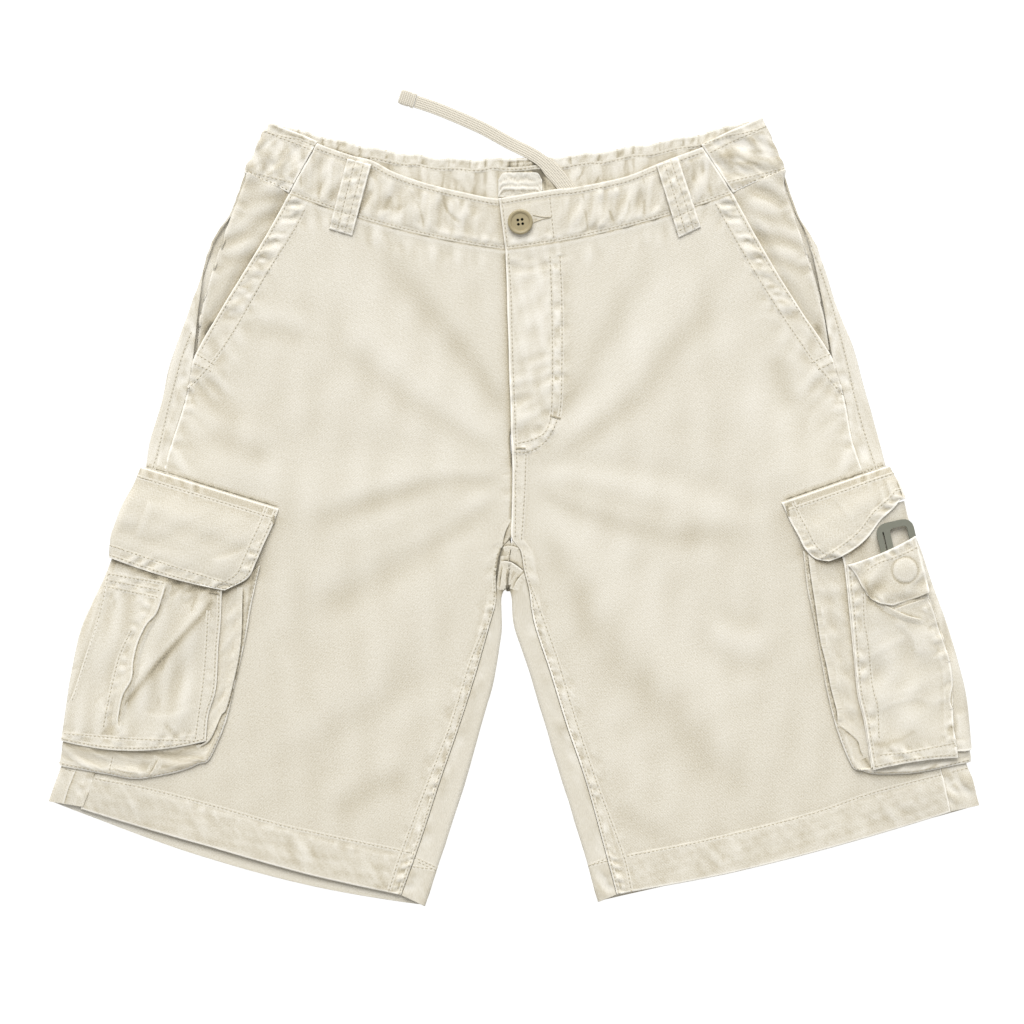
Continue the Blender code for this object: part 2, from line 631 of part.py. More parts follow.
def phone_height(x, y):
    """Outer face of the phone pocket: low along its seams, and open beside the clip."""
    front_x = 265.5 - (y + 43) * 0.131
    side_y, side_x = zip(*[(row[3], row[2]) for row in PHONE_POCKET[::-1]])
    side = np.interp(y, side_y, side_x)
    down, rises = zip(*PHONE_RISE)
    full = np.interp(y - 0.35 * (x - front_x), down, rises)
    sewn = float(smoothstep((-64 - y) / 24))
    inside = min((x - front_x) / 12, 1.0, (side - x) / 9 * sewn + 1 - sewn)
    return face_top(x, y) + SEAM + CLOTH + (full - SEAM - CLOTH) * float(smoothstep(inside))


def phone_pocket():
    grid = []
    for fx, fy, ex, ey, bow in PHONE_POCKET:
        plan = bowed((fx, fy), (ex, ey), bow, np.linspace(0, 1, 11))
        grid.append([(x, y, phone_height(x, y)) for x, y in plan])
    return np.array(grid)


def cuff():
    """The turned-down band at the phone pocket's mouth, over a covered round fastener."""
    grid = []
    for fx, fy, ex, ey, bow in CUFF:
        plan = bowed((fx, fy), (ex, ey), bow, np.linspace(0, 1, 15))
        row = []
        for x, y in plan:
            away = math.hypot(x - BUMP[0], y - BUMP[1])
            dome = 1.0 * float(1 - smoothstep((away - BUMP_RADIUS + 4) / 5))
            row.append((x, y, phone_height(x, y) + SEAM + CLOTH + 0.2 + dome))
        grid.append(row)
    return np.array(grid)


# ---- clip, button, drawcord and inner patch ----------------------------------------------
CLIP_TOP = (302.0, -8.2)       # middle of the clip's upper end
CLIP_LEAN = 13.0               # degrees
CLIP_WIDE = 30.0
CLIP_LONG = 58.0
CLIP_RAIL = 4.4
CLIP_GATE = 5.0                # width of the springy inner arm
CLIP_SLIT = 1.2                # between that arm and the left rail
CLIP_FLOOR = LYING + POCKET_UNDER + STANDOFF + 0.55 + CLIP_SEAT


def outline_curve(name, rings, thickness, collection, finish):
    """A flat plate from closed outlines: the first is its edge, the others are holes."""
    data = bpy.data.curves.new(name, "CURVE")
    data.dimensions = "2D"
    data.fill_mode = "BOTH"
    data.extrude = thickness / 2 * MM
    for ring in rings:
        spline = data.splines.new("POLY")
        spline.points.add(len(ring) - 1)
        for point, (x, y) in zip(spline.points, ring):
            point.co = (x * MM, y * MM, 0, 1)
        spline.use_cyclic_u = True
    flat = bpy.data.objects.new(name + "_outline", data)
    bpy.context.scene.collection.objects.link(flat)
    graph = bpy.context.evaluated_depsgraph_get()
    mesh = bpy.data.meshes.new_from_object(flat.evaluated_get(graph))
    bpy.data.objects.remove(flat, do_unlink=True)
    shape = bmesh.new()
    shape.from_mesh(mesh)
    bmesh.ops.remove_doubles(shape, verts=shape.verts[:], dist=1e-6)
    bmesh.ops.recalc_face_normals(shape, faces=shape.faces[:])
    shape.to_mesh(mesh)
    shape.free()
    made = bpy.data.objects.new(name, mesh)
    bpy.context.scene.collection.objects.link(made)
    return keep(made, collection, finish)


def rounded_box(x0, x1, y0, y1, radius, steps=4):
    """Corners of a rounded rectangle, in order."""
    ring = []
    for cx, cy, start in ((x1 - radius, y1 - radius, 0), (x0 + radius, y1 - radius, 90),
                          (x0 + radius, y0 + radius, 180), (x1 - radius, y0 + radius, 270)):
        for step in range(steps + 1):
            angle = math.radians(start + 90 * step / steps)
            ring.append((cx + radius * math.cos(angle), cy + radius * math.sin(angle)))
    return ring


def clip(collection, finish):
    """A one-piece moulded snap clip: a long ring with a springy arm beside its left rail."""
    half = CLIP_WIDE / 2
    arm = -half + CLIP_RAIL + CLIP_SLIT
    rings = [rounded_box(-half, half, -CLIP_LONG, 0, 8),
             rounded_box(arm + CLIP_GATE, half - CLIP_RAIL - 1.0, -CLIP_LONG + 6, -5.2, 3),
             rounded_box(arm - CLIP_SLIT, arm, -CLIP_LONG + 12, -6.4, 0.55, 2)]
    body = outline_curve("snap_clip", rings, CLIP_THICK, collection, finish)
    body.location = (CLIP_TOP[0] * MM, CLIP_TOP[1] * MM, (CLIP_FLOOR + CLIP_THICK / 2) * MM)
    body.rotation_euler[2] = math.radians(CLIP_LEAN)
    return body


def button(collection, finish):
    """A turned four-hole button with a raised rim."""
    bottom = BAND_TOP + SEAM + 0.05
    radius = BUTTON_ACROSS / 2
    profile = ((0.0, 1.9), (radius - 3.2, 1.9), (radius - 2.4, 2.7), (radius - 1.2, BUTTON_THICK),
               (radius - 0.3, 2.6), (radius, 1.7), (radius - 0.4, 0.6), (radius - 2.0, 0.0), (0.0, 0.0))
    shape = bmesh.new()
    corners = [shape.verts.new((x * MM, 0, z * MM)) for x, z in profile]
    for start, end in zip(corners, corners[1:]):
        shape.edges.new((start, end))
    mesh = bpy.data.meshes.new("button")
    shape.to_mesh(mesh)
    shape.free()
    made = bpy.data.objects.new("button", mesh)
    bpy.context.scene.collection.objects.link(made)
    screw = made.modifiers.new("turn", "SCREW")
    screw.steps = screw.render_steps = 28
    screw.use_merge_vertices = True
    screw.merge_threshold = 0.00001
    made.location = (BUTTON[0] * MM, BUTTON[1] * MM, bottom * MM)
    holes = bpy.data.collections.new("cutters")
    bpy.context.scene.collection.children.link(holes)
    for index in range(4):
        angle = math.radians(45 + 90 * index + 8)
        x = BUTTON[0] + 2.45 * math.cos(angle)
        y = BUTTON[1] + 2.45 * math.sin(angle)
        bpy.ops.mesh.primitive_cylinder_add(vertices=12, radius=1.15 * MM, depth=8 * MM,
                                            location=(x * MM, y * MM, (bottom + 1.5) * MM))
        hole = bpy.context.object
        hole.name = f"button_hole_{index}"
        hole.hide_render = True
        hole.display_type = "WIRE"
        for old in list(hole.users_collection):
            old.objects.unlink(hole)
        holes.objects.link(hole)
        cut = made.modifiers.new(f"hole_{index}", "BOOLEAN")
        cut.object = hole
        cut.operation = "DIFFERENCE"
    return keep(made, collection, finish)


CORD_WIDE = 10.0
CORD_THICK = 1.6
# middle of the drawcord, from inside the waistband out over the back and along the table
CORD_ROUTE = ((48, 250, 2.95), (45, 254.5, 2.95), (41, 260, 2.95), (36, 266.5, 2.95), (30, 273, 2.95),
              (24, 279, 2.95), (18, 283.5, 2.85), (11, 287.5, 2.5), (4, 291, 1.7), (-4, 295, 0.95),
              (-13, 300, 0.85), (-24, 306, 0.85), (-37, 312, 0.85), (-51, 318, 0.85), (-65, 323.5, 0.85),
              (-79, 328.2, 0.85))
CORD_POINTS = 30
TIP_LONG = 13.0
TIP_WIDE = 12.0
TIP_THICK = 2.4


def drawcord(collection, finish):
    data = bpy.data.curves.new("drawcord", "CURVE")
    data.dimensions = "3D"
    data.twist_mode = "Z_UP"
    data.bevel_depth = CORD_THICK / 2 * MM
    data.extrude = (CORD_WIDE - CORD_THICK) / 2 * MM
    data.bevel_resolution = 2
    data.use_fill_caps = True
    points = curve_through(CORD_ROUTE, np.linspace(0, 1, CORD_POINTS))
    spline = data.splines.new("POLY")
    spline.points.add(len(points) - 1)
    for point, (x, y, z) in zip(spline.points, points):
        point.co = (x * MM, y * MM, z * MM, 1)
        point.tilt = math.pi / 2
    made = bpy.data.objects.new("drawcord", data)
    bpy.context.scene.collection.objects.link(made)
    for old in list(made.users_collection):
        old.objects.unlink(made)
    collection.objects.link(made)
    data.materials.append(finish)
    return made


def drawcord_tip(collection, finish):
    """The folded and wrapped end of the drawcord."""
    along = np.array(CORD_ROUTE[-1][:2], float) - np.array(CORD_ROUTE[-2][:2], float)
    along /= np.linalg.norm(along)
    centre = np.array(CORD_ROUTE[-1][:2]) + along * (SEAM + TIP_LONG / 2)
    bpy.ops.mesh.primitive_cube_add(size=1.0)
    tip = bpy.context.object
    tip.name = "drawcord_tip"
    tip.data.transform(Matrix.Diagonal((TIP_LONG * MM, TIP_WIDE * MM, TIP_THICK * MM, 1.0)))
    tip.location = (centre[0] * MM, centre[1] * MM, TIP_THICK / 2 * MM)
    tip.rotation_euler[2] = math.atan2(along[1], along[0])
    bevel = tip.modifiers.new("edges", "BEVEL")
    bevel.width = 0.8 * MM
    bevel.segments = 2
    return keep(tip, collection, finish)


PATCH = (-12.5, 22.5, 256.0, 271.0)
PATCH_THICK = 0.7


def inner_patch(collection, finish):
    """The bare cloth patch inside the back of the waistband, with a rounded upper edge."""
    x0, x1, y0, y1 = PATCH
    ring = [(x, y) if y > y0 + 6 else (x0 if x < 0 else x1, y0) for x, y in rounded_box(x0, x1, y0, y1, 6)]
    clean = []
    for corner in ring:
        if not clean or math.dist(corner, clean[-1]) > 0.2:
            clean.append(corner)
    if math.dist(clean[0], clean[-1]) < 0.2:
        clean.pop()
    patch = outline_curve("inner_patch", [clean], PATCH_THICK, collection, finish)
    patch.location = (0, 0, (BAND + SEAM + PATCH_THICK / 2) * MM)
    return patch


# ---- all pieces -----------------------------------------------------------------------
def main():
    for old in list(bpy.data.objects):
        bpy.data.objects.remove(old, do_unlink=True)
    collection = bpy.data.collections.new(NAME)
    bpy.context.scene.collection.children.link(collection)
    twill = material("stone_twill", (0.75, 0.70, 0.58), 0.9)

    for side in ("right", "left"):
        cloth(f"back_{side}", back_panel(side), CLOTH, collection, twill, (0.5, 0.5), "down")
        cloth(f"front_{side}", front_panel(side), CLOTH, collection, twill)
        cloth(f"pocket_facing_{side}", pocket_facing(side), CLOTH, collection, twill, (0.3, 0.8))
        cloth(f"waistband_front_{side}", band_front(side), BAND, collection, twill)
        cloth(f"belt_loop_{side}", belt_loop(side), CLOTH, collection, twill)
        face = pocket_face(side)
        cloth(f"cargo_pocket_{side}", face, CLOTH, collection, twill, (0.5, 0.3))
        cloth(f"cargo_flap_{side}", pocket_flap(side), CLOTH, collection, twill, (0.5, 0.3))
        cloth(f"cargo_bellows_{side}", bellows(side, face), CLOTH, collection, twill, (0.5, 0.1))
    cloth("waistband_back", band_back(), BAND, collection, twill, (0.5, 0.5), "down")
    cloth("phone_pocket", phone_pocket(), CLOTH, collection, twill)
    cloth("phone_pocket_cuff", cuff(), CLOTH, collection, twill)
    clip(collection, material("grey_green_plastic", (0.20, 0.22, 0.17), 0.5))
    button(collection, material("olive_tan_button", (0.27, 0.24, 0.15), 0.4))
    braid = material("cream_braid", (0.78, 0.74, 0.63), 0.85)
    drawcord(collection, braid)
    drawcord_tip(collection, braid)
    inner_patch(collection, twill)


main()
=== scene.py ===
"""Looks of a pair of cargo shorts laid flat: fine cloth, sewing, hardware, light and camera.

X runs across the shorts with the wearer's right at -X, +Y runs towards the waist and Z is
the height over the table. Shapes are worked out in millimetres, meshes are in metres.
"""
import math
from functools import partial
from types import SimpleNamespace

import bmesh
import bpy
import numpy as np
from mathutils import Matrix, Vector
from mathutils.bvhtree import BVHTree


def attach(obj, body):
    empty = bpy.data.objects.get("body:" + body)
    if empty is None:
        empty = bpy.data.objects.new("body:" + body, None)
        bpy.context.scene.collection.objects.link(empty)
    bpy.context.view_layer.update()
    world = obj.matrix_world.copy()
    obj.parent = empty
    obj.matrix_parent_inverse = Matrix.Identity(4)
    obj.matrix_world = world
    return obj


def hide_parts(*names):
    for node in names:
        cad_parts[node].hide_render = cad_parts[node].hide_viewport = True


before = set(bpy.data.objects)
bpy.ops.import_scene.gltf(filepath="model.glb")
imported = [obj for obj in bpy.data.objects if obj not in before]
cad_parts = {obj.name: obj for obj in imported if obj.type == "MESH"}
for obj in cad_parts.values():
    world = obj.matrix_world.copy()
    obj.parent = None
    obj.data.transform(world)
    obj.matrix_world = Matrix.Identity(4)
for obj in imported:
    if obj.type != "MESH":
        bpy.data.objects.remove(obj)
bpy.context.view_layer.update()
MM = 0.001

# ---- driving sizes, millimetres ----
CLOTH = 1.2            # wall of one layer of twill with its seam allowances
BAND = 1.8             # wall of the doubled waistband
SEAM = 0.3             # gap between two pieces that are sewn together
LYING = 5.0            # height of the front cloth over the table
BAND_TOP = 6.2         # height of the front waistband's outer face
FOLD = 2.5             # radius of the cloth where it turns under at the leg's edges
POCKET_UNDER = 3.4     # how far the leg is lifted by the pocket half that lies under it
UNDER_REACH = 37.0     # how far flap and pocket reach in under the leg
STANDOFF = 3.8         # pocket face over the leg cloth
FLAP_ROOM = 1.6        # how much higher the pocket lies where the flap goes in under it
WAVE = 21.0            # length of one gather of the elastic waistband
BAND_GAP = 0.35        # from the top of the legs to the waistband
POCKET_TURN, FLAP_TURN, BELLOWS_TURN = 5.0, 5.5, 4.0     # radii in which they go in under the leg

# ---- the legs: one row for each section from waist to hem ----
# columns: x, y, turn, lap
# x, y     outermost point of the fold at the leg's edge
# turn     direction in which the edge faces, degrees
# lap      how far the cloth comes back over the top, from that point to its seam;
#          minus FOLD means that the seam lies flat on the table instead
OUTER = {
    "right": (
        (-214, 271, 153, 0), (-222, 241, 146, 0), (-241, 208, 145, 0), (-254, 170, 145, 4),
        (-270, 124, 167, 13.4), (-278, 92, 163, 15), (-288, 58, 163, 14.5), (-296, 28, 163, 14),
        (-306, -1, 163, 17.5), (-313, -27, 163, 18.5), (-322, -51, 163, 21.5), (-331, -73, 163, 25),
        (-339, -94, 163, 28), (-345, -115, 163, 29), (-350, -135, 163, 29.5),
        (-354, -156, 163, 28.5), (-357, -178, 163, 26.5), (-360, -198, 164, 25),
        (-366, -216, 167, 26.5), (-372, -234, 171, 25.8)),
    "left": (
        (215, 273, 25, 0), (223, 242, 35, 0), (241, 211, 35, 5), (255, 174, 36, 9.5),
        (271, 128, 20, 17), (280, 95, 17, 16.2), (290, 61, 17, 19.8), (299, 29, 17, 18),
        (307, -1, 17, 18), (315, -27, 17, 19), (323, -51, 17, 21), (331, -73, 17, 23),
        (339, -94, 17, 25.5), (346, -115, 17, 27), (351, -135, 17, 27), (356, -156, 17, 26.5),
        (359, -178, 17, 23.7), (361, -198, 16, 20.5), (367, -216, 14, 22), (372, -234, 12, 22.7)),
}
# the centre seam, the same for both legs but for the way in which the edge faces
CENTRE_SEAM = ((-7, 239, 0, -FOLD), (-6, 205, 0, -FOLD), (-5, 165, 0, -FOLD), (-4, 120, 0, -FOLD),
               (-3, 75, 0, -FOLD), (-2, 30, 0, -FOLD), (-2, -10, 0, -FOLD), (-2, -42, -40, -FOLD),
               (-4, -63, -90, 0), (-5, -63, -90, 16))
INNER = {
    "right": (
        *CENTRE_SEAM, (-5, -63, -94, 40), (-8, -64, -87, 34),
        (-10, -70, -79, 20.5), (-10, -82, -68, 11), (-10, -97, -34, 11), (-15.5, -133, -13, 15),
        (-27, -176, -14, 17), (-40.6, -220, -15, 19), (-55, -265, -15, 19.6), (-71, -314, -25, 21)),
    "left": (
        *((x, y, -180 - turn, lap) for x, y, turn, lap in CENTRE_SEAM), (-5, -63, -94, 40),
        (-3.5, -64, -105, 33), (-2, -70, -113, 25), (-1.5, -79, -134, 19.4), (1, -96, -160, 16),
        (14, -134, -165, 15.5), (26.3, -176, -166, 16.2), (39.6, -220, -165, 18),
        (54, -267, -165, 16.8), (67, -313, -158, 16.2)),
}
# the front's own edges above the seams, x and y: the slash pocket and the centre front
SLASH = {
    "right": ((-180, 254), (-197, 223), (-217, 190), (-237, 157)),
    "left": ((175, 254), (193, 221), (211, 190), (232, 157)),
}
CENTRE = ((-7, 209), (-6, 185), (-5.5, 160), (-4.5, 135), (-4, 110), (-3, 86), (-2.5, 62),
          (-1.5, 38), (-1.5, 16), (-2, -4), (-2.2, -21))
# how far each row bows towards the hem between its two ends: back, front
BOW = {
    "right": {0: (8, 6), 1: (5, 4), 2: (2, 2), 17: (3, 1), 18: (7, 2), 19: (10.5, 4)},
    "left": {0: (8, 6), 1: (5, 4), 2: (2, 2), 18: (1, 2), 19: (2, 5)},
}
SLASH_ROWS = 4          # rows 0 to 3 end at the slash pocket, the next ones at the side seam
CROTCH_ROW = 10         # the row that ends where the four seams meet
FLY_ROWS = 7            # rows whose right front runs on under the left one
FLY_LAP = 20.0
CROTCH_EASE = 0.45      # more room where four folded pieces meet
EDGE_EASE = 0.4         # more room at a seam that lies in the turn of the cloth

# ---- cargo pockets: one row for each section from the mouth to the bottom ----
# columns: x and y of the edge towards the front, x and y of the outermost point, bow
POCKET_FACE = {
    "right": ((-231, -44, -319.5, -33, 0), (-234, -65, -328, -54, 1), (-235, -87, -338, -75, 2),
              (-237, -109, -347, -97, 3), (-239, -142, -354.5, -132, 3), (-245, -163, -358.5, -158, 4),
              (-247, -184, -362, -183, 7)),
    "left": ((257, -24, 312, 8, 0), (263, -38, 316, -8, 0), (266, -59, 325, -30, 2),
             (269, -88, 335, -60, 3), (272, -117, 346, -90, 3), (275, -147, 355, -120, 3),
             (280, -168, 362, -150, 3), (286, -205, 366, -190, -3)),
}
FLAP = {
    "right": ((-189, -1, -299.5, 33, 0), (-194, -14, -304, 22, 0), (-200, -27, -310, 11, 0),
              (-206, -41, -316, -4, 0), (-213, -54, -322, -19, 1), (-230, -63, -323.5, -36, 2)),
    "left": ((215, 4, 301.5, 34, 0), (221, -9, 304, 29, 1), (227, -20, 307, 24, 2),
             (232, -30, 309.5, 18, 4), (240, -38, 311, 14, 5), (250, -40, 312.5, 11, 8)),
}
# where the bellows are sewn to the leg: the front stretch, then the bottom one
ATTACH_FRONT = {
    "right": ((-203, -44), (-208, -65), (-212, -87), (-216, -109), (-225, -146), (-232, -174),
              (-243, -198)),
    "left": ((231, -32), (232, -45), (235, -66), (241, -94), (246, -123), (252, -153), (258, -175),
             (270, -204)),
}
ATTACH_BOTTOM = {
    "right": ((-266, -208), (-300, -214), (-322, -211), (-363.5, -203)),
    "left": ((286, -210), (313, -210), (328, -208), (365.5, -200)),
}


def smoothstep(value):
    value = np.clip(value, 0.0, 1.0)
    return value * value * (3 - 2 * value)


def ramp(value, start, width):
    """Softly from nought at `start` to one `width` further on, which may be backwards."""
    return smoothstep((value - start) / width)


def bell(value, centre, width):
    return np.exp(-((value - centre) / width) ** 2)


def unit(degrees):
    return np.array((math.cos(math.radians(degrees)), math.sin(math.radians(degrees))))


def curve_through(points, fractions):
    """Points at the given fractions of a smooth curve through the listed ones."""
    points = np.array(points, float)
    padded = np.vstack([2 * points[0] - points[1], points, 2 * points[-1] - points[-2]])
    fine = []
    for start, here, there, after in zip(padded, padded[1:], padded[2:], padded[3:]):
        for t in np.linspace(0, 1, 13)[:-1]:
            fine.append(0.5 * (2 * here + (there - start) * t
                               + (2 * start - 5 * here + 4 * there - after) * t ** 2
                               + (3 * here - start - 3 * there + after) * t ** 3))
    fine = np.array(fine + [points[-1]])
    run = run_along(fine)
    at = np.asarray(fractions) * run[-1]
    return np.stack([np.interp(at, run, fine[:, k]) for k in range(fine.shape[1])], axis=1)


def run_along(points):
    """Length of the line from its first point to each one."""
    return np.concatenate([[0], np.cumsum(np.linalg.norm(np.diff(points, axis=0), axis=1))])


def outer_edge_x(side, y):
    rows = np.array(OUTER[side])[::-1]
    return np.interp(y, rows[:, 1], rows[:, 0])


def lift(side, x, y):
    """How far the leg is raised by the pocket and flap that reach in under it."""
    along = ramp(y, 72, -38) * (1 - ramp(y, -216, -60))
    inside = np.abs(outer_edge_x(side, y) - x)
    return POCKET_UNDER * along * (1 - ramp(inside, 44, 66))


def leg_top(side, x, y):
    """Outer face of the leg's upper side."""
    return LYING + lift(side, x, y)


def unrolled_length(lap, radius):
    """Length of cloth beyond the point where it leaves the table, for a lap on the top."""
    if lap >= radius:
        return math.pi * radius + lap - radius
    if lap >= 0:
        return radius * (math.pi / 2 + math.acos(1 - lap / radius))
    return max(0.0, math.pi / 2 * (radius + lap))


def round_the_edge(edge, outwards, radius, low, high, run):
    """Point at the unrolled length `run` past where the cloth leaves its lower level."""
    full = math.pi * radius
    level = edge - radius * outwards
    if run <= 0:
        return np.array((*(level + run * outwards), low))
    if run >= full:
        return np.array((*(level - (run - full) * outwards), high))
    angle = run / radius
    plan = level + radius * math.sin(angle) * outwards
    return np.array((*plan, low + (high - low) * (1 - math.cos(angle)) / 2))


def wrap_runs(reach, radius, flat):
    """Unrolled lengths from `flat` before the turn to `reach` past it, closest in the turn."""
    full = math.pi * radius
    stops = np.array((-flat, -0.4 * flat, 0, 0.25 * full, 0.5 * full, 0.75 * full, full,
                      full + 0.45 * max(reach - full, 3.0), full + max(reach - full, 3.0)))
    return -flat + (stops + flat) * (reach + flat) / (stops[-1] + flat)


# ---- legs ----
def edge_reach(row):
    """Fold point, direction, fold radius and unrolled length to the seam of a table row."""
    x, y, turn, lap = row
    reach = unrolled_length(lap, FOLD)
    radius = min(FOLD, reach * 2 / math.pi) if reach > 0 else 1e-6
    return np.array((x, y), float), unit(turn), radius, reach


def outer_point(side, k, run_past_seam):
    edge, outwards, radius, reach = edge_reach(OUTER[side][k])
    low = float(lift(side, *edge))
    return round_the_edge(edge, outwards, radius, low, low + LYING, reach + run_past_seam)


def inner_point(side, k, run_past_seam):
    edge, outwards, radius, reach = edge_reach(INNER[side][k])
    return round_the_edge(edge, outwards, radius, 0.0, LYING, reach + run_past_seam)


def sign(side):
    return -1 if side == "right" else 1


def bowed(start, end, bow, fractions):
    """Plan points from start to end, bowed towards the hem by `bow` in the middle."""
    t = np.asarray(fractions, float)[:, None]
    line = np.array(start)[None, :2] * (1 - t) + np.array(end)[None, :2] * t
    line[:, 1] -= bow * 4 * (t * (1 - t))[:, 0]
    return line


def back_line(side, k, fractions):
    """The flat stretch of a back row, from the outer turn to the inner one."""
    edge, outwards, radius, _ = edge_reach(OUTER[side][k])
    inner, inwards, inner_radius, _ = edge_reach(INNER[side][k])
    start = edge - radius * outwards
    end = inner - inner_radius * inwards
    return bowed(start, end, BOW[side].get(k, (0, 0))[0], fractions)


def back_panel(side):
    """The back of a leg, lapped over its outer edge and round the inseam's."""
    grid = []
    for k in range(len(OUTER[side])):
        edge, outwards, radius, reach = edge_reach(OUTER[side][k])
        low = float(lift(side, *edge))
        row = [round_the_edge(edge, outwards, radius, low, low + LYING, run)
               for run in wrap_runs(reach - SEAM / 2 - EDGE_EASE * (k < 3), FOLD, 0.0)[:2:-1]]
        flat = np.concatenate([[0.0], np.linspace(0.06, 0.4, 6), np.linspace(0.52, 0.94, 5)])
        for x, y in back_line(side, k, flat):
            row.append(np.array((x, y, float(lift(side, x, y)))))
        edge, outwards, radius, reach = edge_reach(INNER[side][k])
        line = back_line(side, k, (0.94, 1.0))
        approach = (line[1] - line[0]) / np.linalg.norm(line[1] - line[0])
        for run in wrap_runs(reach - SEAM / 2, FOLD, 11.0):
            if run < 0:
                row.append(np.array((*(line[1] + run * approach), 0.0)))
            else:
                row.append(round_the_edge(edge, outwards, radius, 0.0, LYING, run))
        row = np.array(row)
        if k <= CROTCH_ROW:
            near = smoothstep((row[:, 0] * sign(side) * -1 + 30) / 25)
            row[:, 0] += sign(side) * (SEAM / 2 + CROTCH_EASE * ramp(k, 5, 2)) * near
        grid.append(row)
    return np.array(grid)


def front_panel(side):
    """The front of a leg, from the slash pocket or side seam to the centre or inseam."""
    grid = []
    rows = len(OUTER[side])
    for k in range(rows):
        start = SLASH[side][k] if k < SLASH_ROWS else outer_point(side, k, SEAM / 2)[:2]
        end = np.array(CENTRE[k] if k <= CROTCH_ROW else inner_point(side, k, SEAM * 1.2)[:2], float)
        last = 1.0
        if side == "right" and k < FLY_ROWS:
            run_on = FLY_LAP * (1 - smoothstep((k - FLY_ROWS + 3) / 2))
            last += run_on / abs(end[0] - start[0])
        fractions = np.linspace(0, 1, 21) * last
        row = bowed(start, end, BOW[side].get(k, (0, 0))[1], fractions)
        if k <= CROTCH_ROW:
            row[:, 0] += sign(side) * SEAM / 2 * ramp(fractions, 0.9, 0.1)
        x, y = row[:, 0], row[:, 1]
        z = leg_top(side, x, y)
        centre_x = end[0]
        if k < FLY_ROWS + 1:
            flat = 1 - smoothstep((k - FLY_ROWS + 1) / 2.0)
            if side == "right":
                z = z - 0.95 * flat * smoothstep((x - centre_x + 8) / 7)
            else:
                z = z + 0.6 * flat * (1 - smoothstep((x - centre_x - 36) / 8))
        grid.append(np.stack([x, y, z], axis=1))
    return np.array(grid)


def pocket_facing(side):
    """The cloth that shows behind the slash edge, sewn to the back at the side."""
    stations = (0, 0.5, 1, 1.5, 2, 2.5, 3, 3.35, 3.7)
    grid = []
    for station in stations:
        k = min(int(station), SLASH_ROWS - 1)
        blend = station - k
        rows = []
        for j in (k, k + 1):
            edge, outwards, radius, reach = edge_reach(OUTER[side][j])
            low = float(lift(side, *edge))
            slash = np.array(SLASH[side][j] if j < SLASH_ROWS else outer_point(side, j, 0)[:2], float)
            seam = round_the_edge(edge, outwards, radius, low, low + LYING, reach)
            visible = np.linalg.norm(slash - seam[:2])
            full = math.pi * FOLD
            runs = [reach + SEAM + EDGE_EASE + max(full - reach, 0.6) * t
                    for t in (0, 0.33, 0.66, 1.0)]
            inner_end = runs[-1] + visible + 13
            runs += list(np.linspace(runs[-1], inner_end, 9)[1:])
            points = [round_the_edge(edge, outwards, radius, low, low + LYING, run) for run in runs]
            rows.append((np.array(points), slash))
        points = rows[0][0] * (1 - blend) + rows[1][0] * blend
        slash = rows[0][1] * (1 - blend) + rows[1][1] * blend
        past = (points[:, 0] - slash[0]) * -sign(side)
        points[:, 2] -= 1.6 * ramp(past, -7, 6)
        grid.append(points)
    return np.array(grid)


# ---- waistband ----
BAND_FRONT_TOP = {
    "right": ((-158, 294), (-132, 285), (-113, 280), (-96, 271), (-70, 262), (-41, 255), (-12, 250)),
    "left": ((151, 291), (126, 282), (111, 276), (88, 267), (50, 259), (31, 257), (-12, 250)),
}
BAND_BACK_TOP = ((-194, 310), (-156, 299), (-112, 289), (-76, 283), (-41, 280), (-6, 281),
                 (33, 282), (62, 285), (111, 293), (142, 299), (180, 309), (196, 314))
BAND_CORNER = {"right": (-194, 310), "left": (196, 314)}
BAND_ROWS = 5
BUTTON = (5.0, 231.0)
CALM = 34.0             # the flat stretch of the waistband on each side of the button


def gathers(x, y):
    """Height of the elastic's gathers, which stop before the button."""
    run = np.abs(x) + 0.35 * (y - 240)
    size = 0.42 * smoothstep((np.abs(x - BUTTON[0]) - CALM) / 22)
    return size * np.sin(2 * math.pi * run / WAVE + 0.8 * np.sin(run / 37))


def band_front(side):
    """The flat front of the waistband; the right one runs on under the left."""
    start, end = SLASH[side][0], CENTRE[0]
    lap = 0.0
    if side == "right":
        lap = 34.0 / abs(end[0] - start[0])
    fractions = np.linspace(0, 1, 33)
    low = bowed(start, end, BOW[side][0][1], fractions * (1 + lap))
    low[:, 1] += BAND_GAP
    top = curve_through(BAND_FRONT_TOP[side], fractions)
    if side == "right":
        top = curve_through(BAND_FRONT_TOP[side] + ((18, 254),), fractions)
    low[0] += (-sign(side) * SEAM, 0)
    top[0] += (-sign(side) * SEAM, 0)
    grid = []
    for t in np.linspace(0, 1, BAND_ROWS):
        row = low * (1 - t) + top * t
        x, y = row[:, 0], row[:, 1]
        z = BAND_TOP + gathers(x, y) * (1 - 0.5 * t)
        if side == "right":
            edge_x = -7 - 5 * t
            z = z - 2.25 * smoothstep((x - edge_x + 8) / 6.5)
        grid.append(np.stack([x, y, z], axis=1))
    return np.array(grid)


